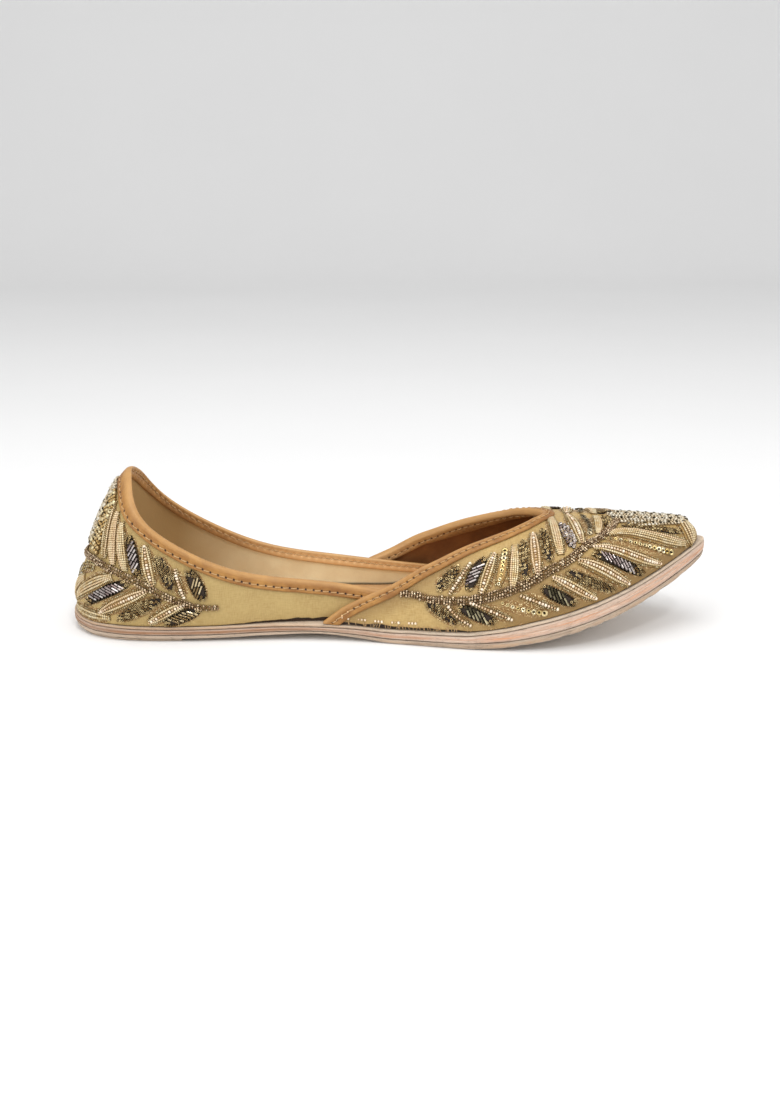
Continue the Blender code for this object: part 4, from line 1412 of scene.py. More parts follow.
# The same at the heel, where a place is the girth round the outline and the share of the way up the wall.
HEEL_LEAVES = [
    ("bronze tubes", (-71.2, 0.42), (-68.8, 0.62), (-65.2, 0.81), 4.6),
    ("pearls", (-64, 0.42), (-62, 0.57), (-60, 0.75), 3.2),
    ("beads", (-59, 0.46), (-56.2, 0.65), (-51.8, 0.82), 4.6),
    ("coils and pearls", (-50.9, 0.48), (-48.3, 0.64), (-45.3, 0.84), 5.6),
    ("lilac tubes", (-44.4, 0.51), (-40.8, 0.69), (-36.4, 0.84), 3.8),
    ("coils", (-37.9, 0.53), (-34.4, 0.70), (-29.6, 0.87), 5.4),
    ("coils", (-31.6, 0.53), (-27.9, 0.70), (-22.6, 0.88), 5.6),
    ("seeds", (-25, 0.53), (-21, 0.70), (-15.4, 0.88), 6.2),
    ("bronze tubes", (-70.7, 0.29), (-63.8, 0.15), (-56.5, 0.04), 4.0),
    ("coils and pearls", (-64, 0.32), (-57, 0.18), (-50.5, 0.05), 5.0),
    ("beads", (-55.8, 0.36), (-46.8, 0.20), (-37.4, 0.06), 4.6),
    ("coils and pearls", (-48.4, 0.40), (-39.6, 0.25), (-29.5, 0.09), 5.8),
    ("lilac tubes", (-41, 0.44), (-31.5, 0.29), (-19.8, 0.12), 4.0),
    ("coils", (-32.5, 0.43), (-22, 0.285), (-10, 0.11), 6.4),
    ("double row", (-21, 0.42), (-13, 0.37), (-5, 0.26), 4.6),
    ("coils", (-14.5, 0.29), (-7, 0.18), (-0.5, 0.05), 6.4),
    ("seeds", (-34, 0.06), (-24, 0.055), (-12, 0.05), 4.0),
]
# What lies side by side across a leaf: a share of its half width, and a trimming.
LANES = {
    "pearls": [(-1, "seeds"), (0, "pearls"), (1, "seeds")],
    "coils": [(-1, "seeds"), *((side, "coils") for side in (-0.58, -0.19, 0.19, 0.58)), (1, "seeds")],
    "coils and pearls": [(-1, "seeds"), (-0.54, "coils"), (0, "pearls"), (0.54, "coils"), (1, "seeds")],
    "seeds": [(-1, "seeds"), (-0.5, "coils"), (0, "seeds"), (0.5, "coils"), (1, "seeds")],
    "sequins and seeds": [(-1, "seeds"), (1, "seeds")],
}
VAMP_STEM = [(132.5, 27), (138, 26), (142, 24), (147, 23), (153, 22), (162, 22), (168, 23), (172, 24)]
VAMP_STEM += [(177, 26), (181, 27), (185, 30), (189, 33), (194, 36), (200, 42), (205, 49), (209, 53)]
VAMP_STEM += [(212, 58), (216, 67), (219, 78)]
HEEL_STEM = [(-77, 0.33), (-70, 0.31), (-64, 0.34), (-58, 0.38), (-51, 0.43), (-46, 0.46), (-40, 0.48)]
HEEL_STEM += [(-34, 0.49), (-26, 0.48), (-18, 0.46), (-8, 0.42), (0, 0.40)]
ROUND_STEPS = 9  # points along a leaf's line
CROSS_SLOPE = 0.75  # rows cross a leaf on the slant
KNOTS_TO_METRE = 1500.0


def on_vamp(places):
    """Girth and angle in radians from x and degrees."""
    places = np.array(places, float)
    return np.column_stack([girth_at(places[:, 0]), np.radians(places[:, 1])])


class Leaf:
    """A leaf's own places on a surface: share of its length from base to tip, and millimetres across."""

    def __init__(self, surface, base, middle, tip, width):
        self.surface, self.base, self.tip, self.width = surface, base, tip, width
        self.control = 2 * middle - (base + tip) / 2
        self.length = chords(self.at(np.linspace(0, 1, 15), 0.0)[0])[-1]

    def middle_line(self, share):
        share = share[..., None]
        ends = (1 - share) ** 2 * self.base + share**2 * self.tip
        return ends + 2 * share * (1 - share) * self.control

    def at(self, share, across, lift=0.0):
        """Points and outward directions, raised by lift."""
        share, across, lift = np.broadcast_arrays(share, across, lift)
        place = self.middle_line(share)
        here, _, out = face_at(self.surface, place)
        ahead = face_at(self.surface, self.middle_line(share + SMALL))[0]
        side = np.cross(out, unit(ahead - here))
        place = stepped(self.surface, place, side * across[..., None])
        point, _, out = face_at(self.surface, place)
        return point + out * lift[..., None], out

    def half_width(self, share, fullness=0.62):
        """Half its width there: almost even along the middle and rounded off at both ends."""
        return self.width / 2 * np.clip(4.3 * share * (1.02 - share), 0, 1) ** fullness

    def line(self, shares, across, lift, size):
        """A line to sew along, as points, outward directions and sizes."""
        points, out = self.at(shares, across, lift)
        return points, out, np.broadcast_to(size, len(points))


def leaves_on(surface, rows, to_place):
    """(filling, leaf) for each row of a table of leaves."""
    made = []
    for filling, base, middle, tip, width in rows:
        base, middle, tip = (to_place([p])[0] for p in (base, middle, tip))
        made.append((filling, Leaf(surface, base, middle, tip, width)))
    return made


LEAVES = leaves_on(vamp_surface, VAMP_LEAVES, on_vamp) + leaves_on(quarter_surface, HEEL_LEAVES, np.array)


def leaves_with(word):
    """The leaves with a word in their filling, and every leaf for no word."""
    return [leaf for filling, leaf in LEAVES if word in filling]


def on_leaves(word, lay, *values):
    """The lines that a way of laying them gives on each leaf with a word in its filling."""
    return [line for leaf in leaves_with(word) for line in lay(leaf, *values)]


def lanes_of(trimming, lift, size):
    """The lines of one trimming on all leaves that have it, closer together at a leaf's ends and raised
    along its middle."""
    shares = np.linspace(0, 1, ROUND_STEPS)
    lines = []
    for filling, leaf in LEAVES:
        half = np.maximum(leaf.half_width(shares, 0.45) - 0.4, 0.22 * leaf.width)
        for side, kind in LANES.get(filling, []):
            if kind == trimming:
                raised = lift + 0.5 * (1 - side**2) * np.sin(math.pi * shares)
                lines.append(leaf.line(shares, side * half, raised, size))
    return lines


def padding(name, leaves, material, height, ease, fullness):
    """Low cushions of thread under the leaves, wider by the ease, and flat-topped where the fullness is
    small."""
    bm = bmesh.new()
    shares = np.linspace(0.02, 0.98, 13)[:, None]
    sides = np.linspace(-1, 1, 7)
    dome = height * (1 - sides**2) ** fullness * np.sin(math.pi * np.linspace(0, 1, 13))[:, None] ** 0.5
    for leaf in leaves:
        across = sides * (leaf.half_width(shares) + ease)
        over, under = leaf.at(shares, across, dome)[0], leaf.at(shares, across, -0.15)[0]
        over[[0, -1]], over[:, [0, -1]] = under[[0, -1]], under[:, [0, -1]]
        for points in (over, under, over * [1, -1, 1], under * [1, -1, 1]):
            skin(bm, lay_grid(bm, points, points))
    return finished(name, bm, material)


def padding_thread(name, dark, light):
    material, tree, shader = finish(name, Roughness=0.75)
    place = stretched(tree, own_place(tree), (3000.0, 3000.0, 9000.0))
    tone = cloudy(tree, place, 1.0, 2.0)
    paint(tree, shader, blended(tree, tone, dark, light))
    raise_surface(tree, shader, tone, 0.1)
    return material


def knotted_ground():
    """Fine gold knots sewn close together, with a painted brown shade between them."""
    material, tree, shader = finish("gold knots", Metallic=0.35, Roughness=0.45)
    place = own_place(tree)
    knots = put(tree, "ShaderNodeTexVoronoi", {"Vector": place, "Scale": KNOTS_TO_METRE}).outputs
    tone = put(tree, "ShaderNodeSeparateColor", {0: knots["Color"]}).outputs[0]
    colour = blended(tree, maths(tree, "POWER", tone, 1.4), rgb(186, 150, 94), rgb(250, 226, 172))
    # painted brown shade in the gaps between the knots
    colour = blended(tree, spread(tree, knots["Distance"], 0.3, 0.6), colour, rgb(140, 104, 58))
    paint(tree, shader, colour)
    raise_surface(tree, shader, spread(tree, knots["Distance"], 0.6, 0.0), 0.35)
    return material


padding("gold_knot_ground", leaves_with(""), knotted_ground(), height=0.15, ease=1.8, fullness=0.3)
# The padding under bead and tube leaves is thread, but its near-black colour is painted shade for the gaps
# between the beads.
shade_dark_padding = padding_thread("dark padding thread", rgb(26, 18, 12), rgb(62, 45, 28))
dark_leaves = leaves_with("beads") + leaves_with("tubes")
padding("dark_leaf_padding", dark_leaves, shade_dark_padding, height=0.5, ease=0.35, fullness=0.35)

# ------------------------ embroidery, metal beads
# Antique metal beads are sewn across their leaves in slanting rows. Each is a small cut ring, painted bright
# on its outward corners as a highlight and with painted shade round its sides, and no two have quite the same
# tone.

BEAD = 0.57  # radius
BEAD_PITCH = 1.34
BEAD_LIFT = 0.7


def turned_shape(name, profile, sides, along_x=True):
    """A small closed ring turned from a profile of (radius, height) points."""
    bm = bmesh.new()
    turns = np.linspace(0, 2 * math.pi, sides, endpoint=False)
    rings = []
    for turn in turns:
        ring = [(height, r * math.cos(turn), r * math.sin(turn)) for r, height in profile]
        rings.append([bm.verts.new(p if along_x else (p[1], p[2], p[0])) for p in ring])
    skin(bm, rings + rings[:1], closed=True)
    bmesh.ops.recalc_face_normals(bm, faces=bm.faces)
    mesh = bpy.data.meshes.new(name)
    bm.to_mesh(mesh)
    bm.free()
    mesh.shade_smooth()
    return bpy.data.objects.new(name, mesh)


def sewn_tree():
    """One trimming sewn at every step along the lines of a mesh, its Z outwards and its X along them."""
    sockets = {"Object": None, "Pitch": 0.0015, "Scatter": 0.1, "Tilt": 0.2, "Seed": 1, "Material": None}
    tree, given, out = shape_tree("sewn along lines", sockets)
    curve = put(tree, "GeometryNodeMeshToCurve", {0: given["Geometry"]}).outputs[0]
    curve = resampled(tree, curve, given["Pitch"])
    outward = kept_value(tree, "outward", "FLOAT_VECTOR")
    tangent = put(tree, "GeometryNodeInputTangent").outputs[0]
    turn = put(tree, "FunctionNodeAlignRotationToVector", {2: outward}, axis="Z").outputs[0]
    inputs = {0: turn, 2: tangent}
    turn = put(tree, "FunctionNodeAlignRotationToVector", inputs, axis="X", pivot_axis="Z").outputs[0]
    least = times(tree, given["Tilt"], -1.0)
    inputs = {0: least, 1: given["Tilt"], "Seed": given["Seed"]}
    tilt = put(tree, "FunctionNodeRandomValue", inputs, data_type="FLOAT_VECTOR").outputs[0]
    tilt = put(tree, "FunctionNodeEulerToRotation", {0: tilt}).outputs[0]
    turn = put(tree, "FunctionNodeRotateRotation", {0: turn, 1: tilt}, rotation_space="LOCAL").outputs[0]
    low, high = (maths(tree, way, 1.0, given["Scatter"]) for way in ("SUBTRACT", "ADD"))
    size = times(tree, kept_value(tree, "size"), chance(tree, low, high, given["Seed"]))
    shape = put(tree, "GeometryNodeObjectInfo", {0: given["Object"]}).outputs["Geometry"]
    sewn = put(tree, "GeometryNodeInstanceOnPoints", {0: curve, 2: shape, 5: turn, 6: size}).outputs[0]
    sewn = kept(tree, sewn, "tone", chance(tree, 0.0, 1.0, given["Seed"]), "INSTANCE")
    sewn = put(tree, "GeometryNodeRealizeInstances", {0: sewn}).outputs[0]
    sewn = crowned(tree, sewn, 1.0)
    sewn = put(tree, "GeometryNodeSetMaterial", {0: sewn, 2: given["Material"]}).outputs[0]
    tree.links.new(sewn, out)
    return tree


SEWN = sewn_tree()


def sewn_on(name, lines, bead, pitch, material, seed, scatter=0.08, tilt=0.12):
    """Beads or sequins along lines on the shoe, of uneven size and sewn a little askew."""
    values = {"Object": bead, "Pitch": pitch * MM, "Scatter": scatter, "Tilt": tilt, "Seed": seed}
    worked(name, lines, SEWN, {**values, "Material": material})


def below_crown(tree, top, bottom, share):
    """A mask round the side of a bead or wire, from 0 on its crown to a share: where painted shade goes."""
    return times(tree, spread(tree, named(tree, "crown"), top, bottom), share)


def trimming_metal(name, dark, light, roughness, tarnish_and_shade, side_shade=0.9, metallic=1.0):
    """Metal in a range of tones, one for each bead, with tarnished patches, and painted shade round its sides
    that leaves the outward crown as a painted highlight.
    """
    material, tree, shader = finish(name, Metallic=metallic, Roughness=roughness)
    tone = maths(tree, "POWER", named(tree, "tone"), 1.3)
    place = own_place(tree)
    patches = times(tree, spread(tree, cloudy(tree, place, 1400.0, 2.0), 0.5, 0.7), 0.5)
    # painted shade round each bead's sides, below its crown
    low = below_crown(tree, 0.85, 0.25, side_shade)
    colour = blended(tree, tone, dark, light)
    colour = blended(tree, maths(tree, "MAXIMUM", patches, low), colour, tarnish_and_shade)
    paint(tree, shader, colour)
    tree.links.new(spread(tree, low, 0.0, 1.0, roughness, roughness + 0.25), shader.inputs["Roughness"])
    return material


def bead_profile(hole, half_length, points):
    """Profile of a bead of radius 1 round its hole."""
    turns = np.linspace(0, 2 * math.pi, points, endpoint=False) + math.pi / points
    reach = (1 - hole) / 2
    return [(hole + reach + reach * math.cos(t), half_length * math.sin(t)) for t in turns]


def slanting_rows(leaf, pitch, lift, size, bare=None):
    """Rows across a leaf, each a whole number of steps long, but for a bare stretch if there is one."""
    count = max(int(leaf.length / (pitch * 0.92)), 1)
    lines = []
    for share in (np.arange(count) + 0.5) / count:
        if bare and bare[0] < share < bare[1]:
            continue
        steps = max(round(2 * float(leaf.half_width(share)) * math.hypot(1, CROSS_SLOPE) / pitch - 0.4), 0)
        half = (steps * pitch * 1.002 + 0.01) / 2 / math.hypot(1, CROSS_SLOPE)
        across = np.linspace(-half, half, 3)
        shares = share + CROSS_SLOPE * across / leaf.length
        lines.append(leaf.line(shares, across, lift, size))
    return lines


TUBE_STRETCH = (0.2, 0.8)  # where a tube leaf has tubes, with beads towards its ends

cut_bead = turned_shape("cut_bead", bead_profile(0.42, 0.6, 5), 8, along_x=False)
antique_metal = trimming_metal(
    "antique metal", rgb(140, 106, 60), rgb(248, 220, 162), 0.24, rgb(34, 22, 13), side_shade=0.85, metallic=0.9
)
bead_lines = on_leaves("beads", slanting_rows, BEAD_PITCH, BEAD_LIFT, BEAD)
bead_lines += on_leaves("tubes", slanting_rows, BEAD_PITCH, BEAD_LIFT, BEAD, TUBE_STRETCH)
sewn_on("antique_bead_leaves", mirrored(bead_lines), cut_bead, BEAD_PITCH, antique_metal, seed=3)

# ------------------------ embroidery, metal tubes
# Tube leaves have short tubes along their middle, laid side by side on the slant and often two to a row.
# Lilac, bronze and nearly black ones keep to their own leaves, and small dark beads edge them.

TUBE = 0.46  # radius
TUBE_SLOPE = 1.1
LILAC_BEAD = 0.7
LILAC_PITCH = 1.5
EDGE_SEED = 0.42
EDGE_PITCH = 0.95


def tube_rows(leaf):
    """Tubes across the middle of a leaf, a long and a short one in turn where it is wide."""
    count = int(leaf.length / (2.3 * TUBE * math.hypot(1, TUBE_SLOPE)))
    lines = []
    for row, share in enumerate((np.arange(count) + 0.5) / count):
        if not TUBE_STRETCH[0] < share < TUBE_STRETCH[1]:
            continue
        half = 0.86 * float(leaf.half_width(share))
        joint = 0.3 * half * (-1) ** row
        parts = [(-half, joint - 0.1), (joint + 0.1, half)] if half > 1.3 else [(-half, half)]
        for across in map(np.array, parts):
            lines.append(leaf.line(share - TUBE_SLOPE * across / leaf.length, across, 0.8, TUBE))
    return lines


def edge_lines(leaf, beyond, lift, size):
    """Lines along both edges of a leaf."""
    shares = np.linspace(0.04, 0.96, ROUND_STEPS)
    half = leaf.half_width(shares) + beyond
    return [leaf.line(shares, side * half, lift, size) for side in (-1, 1)]


tube_values = {"Step": 0.8 * MM, "Turn": 1.0, "Ridge": 0.0, "Sides": 8, "Seed": 4}
TUBES = {
    "lilac": trimming_metal("lilac tubes", rgb(134, 114, 110), rgb(255, 246, 240), 0.16, rgb(44, 34, 32)),
    "dark": trimming_metal("dark tubes", rgb(64, 58, 40), rgb(224, 212, 172), 0.16, rgb(22, 19, 14)),
    "bronze": trimming_metal("bronze tubes", rgb(120, 94, 56), rgb(250, 230, 186), 0.16, rgb(32, 23, 14)),
}
for tint, tube_metal in TUBES.items():
    tube_lines = mirrored(on_leaves(tint + " tubes", tube_rows))
    worked(tint + "_tube_leaves", tube_lines, WIRE, {**tube_values, "Material": tube_metal})
lilac_lines = mirrored(on_leaves("lilac beads", slanting_rows, LILAC_PITCH, BEAD_LIFT + 0.05, LILAC_BEAD))
sewn_on("lilac_beads", lilac_lines, cut_bead, LILAC_PITCH, TUBES["lilac"], seed=6)
dark_metal = trimming_metal("dark seed metal", rgb(56, 46, 34), rgb(150, 134, 102), 0.25, rgb(24, 18, 14))
small_seed = turned_shape("small_seed", bead_profile(0.2, 0.85, 3), 6)
edge_seeds = mirrored(on_leaves("tubes", edge_lines, 0.2, 0.45, EDGE_SEED))
sewn_on("dark_seed_edges", edge_seeds, small_seed, EDGE_PITCH, dark_metal, seed=5)

# ------------------------ embroidery, gilt coils
# Coiled gilt wire is cut to length and laid lengthwise over a padded leaf, two or four strands side by
# side with small gilt seed beads outside them, so that the leaf stands up and shows the turns of the coil.

COIL = 0.5  # radius
COIL_TURN = 0.86
SEED = 0.43
SEED_PITCH = 0.88


def gilt_finish():
    """Pale gilt wire, rosier on some strands, with painted shade between the turns of the coil and round its
    sides, so that the turns read bright.
    """
    material, tree, shader = finish("gilt coil", Metallic=0.5, Roughness=0.36)
    place = own_place(tree)
    tone = spread(tree, cloudy(tree, place, 420.0, 4.0, 0.65), 0.35, 0.65)
    colour = blended(tree, tone, rgb(220, 190, 132), rgb(255, 242, 204))
    rosy = times(tree, spread(tree, named(tree, "tone"), 0.5, 0.85), 0.6)
    colour = blended(tree, rosy, colour, rgb(246, 212, 172))
    # painted shade in the troughs between turns and round the wire's sides
    low = below_crown(tree, 0.75, 0.1, 0.75)
    paint(tree, shader, blended(tree, low, colour, rgb(118, 84, 42)))
    tree.links.new(spread(tree, tone, 0.0, 1.0, 0.5, 0.34), shader.inputs["Roughness"])
    return material


gilt_wire = gilt_finish()
coil_lines = lanes_of("coils", 0.38, COIL * (1 - 0.4 * np.abs(np.linspace(-1, 1, ROUND_STEPS)) ** 8))
coil_values = {"Step": COIL_TURN / 4 * MM, "Turn": COIL_TURN * MM, "Ridge": 0.2, "Sides": 5}
coil_values["Material"] = gilt_wire
vamp_coils = [line for line in coil_lines if line[0][:, 0].min() > LENGTH / 3]
heel_coils = [line for line in coil_lines if line[0][:, 0].min() <= LENGTH / 3]
worked("vamp_coil_leaves", mirrored(vamp_coils), WIRE, coil_values)
worked("heel_coil_leaves", mirrored(heel_coils), WIRE, coil_values)
gold_padding = padding_thread("gold padding thread", rgb(150, 114, 60), rgb(206, 170, 108))
gold_leaves = leaves_with("coils") + leaves_with("seeds")
padding("gold_leaf_padding", gold_leaves, gold_padding, height=0.5, ease=0.15, fullness=1.0)
gold_metal = trimming_metal(
    "gold seed metal", rgb(204, 166, 98), rgb(255, 242, 196), 0.24, rgb(112, 80, 40), side_shade=0.65, metallic=0.75
)
seed_lines = mirrored(lanes_of("seeds", 0.36, SEED))
sewn_on("gold_seed_trims", seed_lines, small_seed, SEED_PITCH, gold_metal, seed=7, scatter=0.16)

# ------------------------ embroidery, pearls
# Small pearly glass beads of uneven size, from gold to pink, are strung along the middle of some leaves and
# held down between them by fine stitches. Along the wings they are tacked two or three at a time, just
# above the sole.

PEARL = 0.56
PEARL_PITCH = 1.16
TACKS = np.arange(109.5, 136, 6.5)  # x of each short string along a wing
TACK_LENGTH = 2.5
TACK_ANGLE = 5.5  # degrees up the vamp's section


def pearl_finish():
    """Pale glass pearls, from gold to pink, with a soft shine and painted shade round their sides."""
    material, tree, shader = finish("pearl glass", Roughness=0.22, Coat_Weight=0.6, Coat_Roughness=0.1)
    tone = named(tree, "tone")
    colour = blended(tree, tone, rgb(216, 176, 128), rgb(255, 238, 212))
    # painted shade round each pearl's sides
    low = below_crown(tree, 0.5, 0.0, 0.7)
    paint(tree, shader, blended(tree, low, colour, rgb(132, 94, 58)))
    return material


pearl_bead = turned_shape("pearl_bead", bead_profile(0.14, 0.82, 5), 8)
pearl_lines = lanes_of("pearls", 0.5, PEARL)
for x in TACKS:
    points, _, out = face_at(vamp_surface, on_vamp([(x, TACK_ANGLE), (x + TACK_LENGTH, TACK_ANGLE)]))
    pearl_lines.append(lifted(points, out, 0.25, 0.5))
pearls, glass = mirrored(pearl_lines), pearl_finish()
sewn_on("pearl_strings", pearls, pearl_bead, PEARL_PITCH, glass, seed=8, scatter=0.24, tilt=0.3)

# ------------------------ embroidery, stems
# The stems are three or four rows of mixed small copper and rose beads, sewn close and uneven, so that
# they read as a rough cord that the leaves spring from.

STEM_BEAD = 0.52
STEM_PITCH = 1.08


def stem_rows(surface, places, offsets):
    """Rows side by side along a stem."""
    run = chords(surface(*places.T, 0.0))
    close = spline(run, places, np.linspace(0, run[-1], int(run[-1] / 2)))
    here, _, out = face_at(surface, close)
    side = np.cross(out, unit(np.gradient(here, axis=0)))
    lines = []
    for k, offset in enumerate(offsets):
        wander = offset * np.sin(math.pi * np.linspace(0.12, 0.9, len(close))) ** 0.5
        wander = wander + 0.22 * uneven(np.arange(len(close)) * 2.0, 31 + k, 7.0)
        points, _, out = face_at(surface, stepped(surface, close, side * wander[:, None]))
        lines.append(lifted(points, out, 1.0 - 0.25 * abs(offset), STEM_BEAD))
    return lines


# The darker colour serves for grime in patches and for painted shade round each bead's sides.
rose, dirt_and_shade = rgb(255, 230, 192), rgb(60, 39, 23)
copper = trimming_metal("copper and rose metal", rgb(150, 106, 68), rose, 0.22, dirt_and_shade, side_shade=0.8, metallic=0.9)
seed_bead = turned_shape("seed_bead", bead_profile(0.2, 0.8, 4), 7)
stem_lines = stem_rows(vamp_surface, on_vamp(VAMP_STEM), (-1.5, -0.5, 0.5, 1.5))
stem_lines += stem_rows(quarter_surface, np.array(HEEL_STEM), (-1.1, 0.0, 1.1))
stems = mirrored(stem_lines)
sewn_on("copper_stems", stems, seed_bead, STEM_PITCH, copper, seed=12, scatter=0.28, tilt=0.9)

# ------------------------ embroidery, sequins
# Cupped gold sequins are sewn in rows that grow towards the leaf's tip, each overlapping the next and held
# by a small dark bead in its eye. A leaf at the throat has tarnished ones.

SEQUIN_PITCH = 1.85


def sequin_row(leaf, small, large, across=0.0):
    """A line along a leaf for sequins that grow from a small radius to a large one."""
    shares = np.linspace(0.06, 1.0, ROUND_STEPS)
    return leaf.line(shares, across, 0.75, small + (large - small) * shares**2)


def sewn_over(lines, lift, share):
    """Lines over those of other beads, raised by a lift, for beads that are a share of their size."""
    return [(points + out * lift, out, size * share) for points, out, size in lines]


def sequins(name, lines, shape, foil, tilt):
    sewn_on(name, mirrored(lines), shape, SEQUIN_PITCH, foil, seed=21, scatter=0.06, tilt=tilt)


cup = [(0.3, -0.10), (0.6, -0.16), (1.0, 0.10), (0.98, 0.17), (0.6, -0.06), (0.32, -0.02)]
sequin = turned_shape("cup_sequin", cup, 12, along_x=False)
gold_foil = trimming_metal("gold foil", rgb(214, 186, 120), rgb(255, 244, 206), 0.2, rgb(150, 116, 60), 0.5)
grey_foil = trimming_metal("grey foil", rgb(122, 102, 70), rgb(238, 220, 182), 0.2, rgb(44, 34, 24), 0.6)
sequin_lines = [sequin_row(leaf, 0.65, 1.3) for leaf in leaves_with("sequins")]
sequin_lines += [sequin_row(leaf, 1.0, 1.0, side) for leaf in leaves_with("double") for side in (-1.1, 1.1)]
ring_lines = [sequin_row(leaf, 1.1, 1.1) for leaf in leaves_with("rings")]
sequins("gold_sequins", sequin_lines, sequin, gold_foil, 0.18)
sequins("grey_sequins", ring_lines, sequin, grey_foil, 0.18)
sequins("sequin_eyes", sewn_over(sequin_lines + ring_lines, 0.05, 0.3), small_seed, dark_metal, 0.0)

# ------------------------ embroidery, toe and heel ridges
# On top of the toe and up the back of the heel the stems of both sides meet in a panel of silver beads, in
# close rows with a dark bead set in now and then. At the heel the outer rows are of gold ones.

PANEL_BEAD = 0.72
PANEL_PITCH = 1.36
HEEL_BEAD = 1.05
HEEL_PITCH = 1.9
KNOT_PITCH = 3.3
HEEL_KNOT_PITCH = 4.1
HEEL_GIRTHS = np.arange(0, 20, 2.2)  # of the rows up the heel
SILVER_HEEL_ROWS = 5  # and then gold ones

# Rows along the toe: degrees up the vamp's section, and x at both ends.
TOE_ROWS = table(
    "angle start end",
    (90.0, 216.0, 248.0),
    (86.0, 216.5, 248.0),
    (82.0, 217.5, 247.5),
    (78.0, 219.0, 247.0),
    (74.0, 220.5, 246.5),
    (70.0, 223.0, 246.0),
    (66.0, 227.0, 245.0),
)


def ridge_line(surface, places, size):
    points, _, out = face_at(surface, places)
    return lifted(points, out, 0.75 * size, size)


def toe_lines():
    """Rows along the ridge of the toe, on one side."""
    lines = []
    for angle, start, end in zip(*TOE_ROWS.values()):
        places = np.column_stack([np.linspace(start, end, 12), np.full(12, angle)])
        lines.append(ridge_line(vamp_surface, on_vamp(places), PANEL_BEAD))
    return lines


def heel_lines():
    """Rows up the back of the heel, on one side, that spread apart towards the stem."""
    lines = []
    for girth in HEEL_GIRTHS:
        rise = np.linspace(0.5 + 0.001 * girth, 0.92 - 0.002 * girth, 14)
        places = np.column_stack([-girth * (1.15 - 0.35 * rise), rise])
        lines.append(ridge_line(quarter_surface, places, HEEL_BEAD))
    return lines


def over_ridge(lines):
    """Lines of both sides, with those along the middle only once."""
    middle = [line for line in lines if abs(line[0][:, 1]).max() < 0.5]
    return middle + mirrored([line for line in lines if abs(line[0][:, 1]).max() >= 0.5])


def panel(name, lines, pitch, metal):
    sewn_on(name, lines, seed_bead, pitch, metal, seed=30, scatter=0.22, tilt=0.7)


silver = trimming_metal(
    "silver metal", rgb(232, 210, 170), rgb(255, 249, 230), 0.28, rgb(112, 88, 56), side_shade=0.65, metallic=0.5
)
panel("silver_toe_panel", over_ridge(toe_lines()), PANEL_PITCH, silver)
toe_knots = mirrored(sewn_over(toe_lines()[2::3], 0.45, 0.9))
sewn_on("dark_knot_beads", toe_knots, cut_bead, KNOT_PITCH, dark_metal, seed=34)
panel("silver_heel_panel", over_ridge(heel_lines()[:SILVER_HEEL_ROWS]), HEEL_PITCH, silver)
panel("gold_heel_panel", mirrored(heel_lines()[SILVER_HEEL_ROWS:]), HEEL_PITCH, gold_metal)
heel_knots = mirrored(sewn_over(heel_lines()[2:7:2], 0.5, 0.7))
sewn_on("dark_heel_knots", heel_knots, cut_bead, HEEL_KNOT_PITCH, dark_metal, seed=34)

# ------------------------ frayed edges
# Along the wings the satin is only tacked down, so short threads hang from its raw fold across the dark gap
# above the rand.

FRAY = 0.1  # radius
FRAYS = 64
FRAYED = (122, 196)  # girths that they lie between
FOOT_RADIUS = 27.0  # of the vamp's section near the sole


def frays():
    """Loose threads from the cloth's lower edge down to the rand, on one side."""
    draw = np.random.default_rng(17)
    girths = np.sort(draw.uniform(*FRAYED, FRAYS))
    lift = cloth_lift(girths)
    lines = []
    for girth, up, lean in zip(girths, lift, draw.uniform(-0.9, 0.9, FRAYS)):
        shares = np.linspace(0, 1, 4)
        angle = (up + 0.5 - shares * (up + 0.35)) / FOOT_RADIUS
        points, _, out = face_at(vamp_surface, np.column_stack([girth + lean * shares**2, angle]))
        away = 0.12 + 0.3 * np.sin(math.pi * shares)
        lines.append(lifted(points, out, away[:, None], FRAY))
    return lines


worked("frayed_edge_threads", mirrored(frays()), WIRE, {**thread_values, "Sides": 5})

# ------------------------ floor, light and camera
# The shoe stands on a plain pale floor that runs up behind it, as in a studio, in soft light from above,
# with one brighter panel that gives the metal beads their sparkle.

FLOOR_REACH = 1.6
CYCLORAMA_RADIUS = 0.5
CAMERA_DISTANCE = 0.55
CAMERA_ELEVATION = math.radians(16)
CAMERA_TARGET = (0.0008, 0.0, 0.0276)
CAMERA_LENS = 44.13
AMBIENT = 0.68


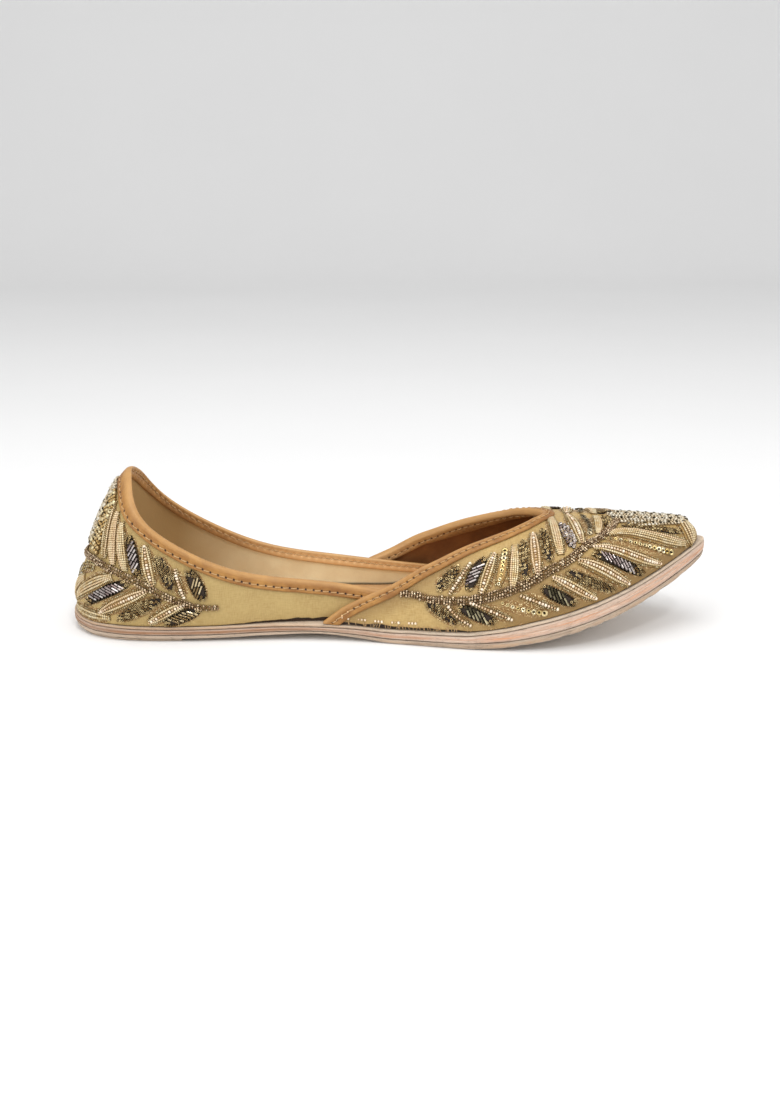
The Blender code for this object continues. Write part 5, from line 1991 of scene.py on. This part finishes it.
def studio_floor():
    """One sheet: flat under the shoe, then curved up behind it."""
    turn = np.linspace(0, math.pi / 2, 13)
    back = FLOOR_REACH + CYCLORAMA_RADIUS * np.sin(turn)
    profile = [(-FLOOR_REACH, 0.0), *zip(back, CYCLORAMA_RADIUS * (1 - np.cos(turn)))]
    profile.append((FLOOR_REACH + CYCLORAMA_RADIUS, 2 * FLOOR_REACH))
    points = [(x, y, z - 0.05 * MM) for y, z in profile for x in (-2 * FLOOR_REACH, 2 * FLOOR_REACH)]
    faces = [(2 * i, 2 * i + 1, 2 * i + 3, 2 * i + 2) for i in range(len(profile) - 1)]
    mesh = bpy.data.meshes.new("studio_floor")
    mesh.from_pydata(points, [], faces)
    mesh.shade_smooth()
    material, tree, shader = finish("pale floor", Roughness=0.85)
    tone = cloudy(tree, own_place(tree), 3.0)
    colour = blended(tree, tone, (0.86, 0.86, 0.86, 1), (0.9, 0.9, 0.9, 1))
    paint(tree, shader, colour)
    mesh.materials.append(material)
    floor = bpy.data.objects.new("studio_floor", mesh)
    bpy.context.scene.collection.objects.link(floor)


def panel_light(name, place, size, power):
    """A square soft light that faces the shoe."""
    light = bpy.data.lights.new(name, "AREA")
    light.size, light.energy = size, power
    lamp = bpy.data.objects.new(name, light)
    lamp.location = place
    lamp.rotation_euler = (Vector(CAMERA_TARGET) - Vector(place)).to_track_quat("-Z", "Y").to_euler()
    bpy.context.scene.collection.objects.link(lamp)


studio_floor()
panel_light("overhead_softbox", (-0.1, -0.15, 1.1), size=0.9, power=5.2)
panel_light("front_left_softbox", (-0.8, -0.9, 0.7), size=0.6, power=4.2)
panel_light("right_panel", (1.0, -0.3, 0.6), size=0.4, power=2.0)
panel_light("sparkle_panel", (0.25, -0.7, 0.95), size=0.12, power=2.0)

world = bpy.data.worlds.new("pale studio")
world.use_nodes = True
world.node_tree.nodes["Background"].inputs["Color"].default_value = (1.0, 1.0, 1.0, 1.0)
world.node_tree.nodes["Background"].inputs["Strength"].default_value = AMBIENT
bpy.context.scene.world = world
bpy.context.scene.view_settings.view_transform = "Standard"

camera = bpy.data.objects.new("camera", bpy.data.cameras.new("camera"))
camera.data.lens = CAMERA_LENS
camera.data.clip_start, camera.data.clip_end = 0.01, 20.0
view_line = Vector((0.0, math.cos(CAMERA_ELEVATION), -math.sin(CAMERA_ELEVATION)))
camera.location = Vector(CAMERA_TARGET) - view_line * CAMERA_DISTANCE
camera.rotation_euler = view_line.to_track_quat("-Z", "Y").to_euler()
bpy.context.scene.collection.objects.link(camera)
bpy.context.scene.camera = camera
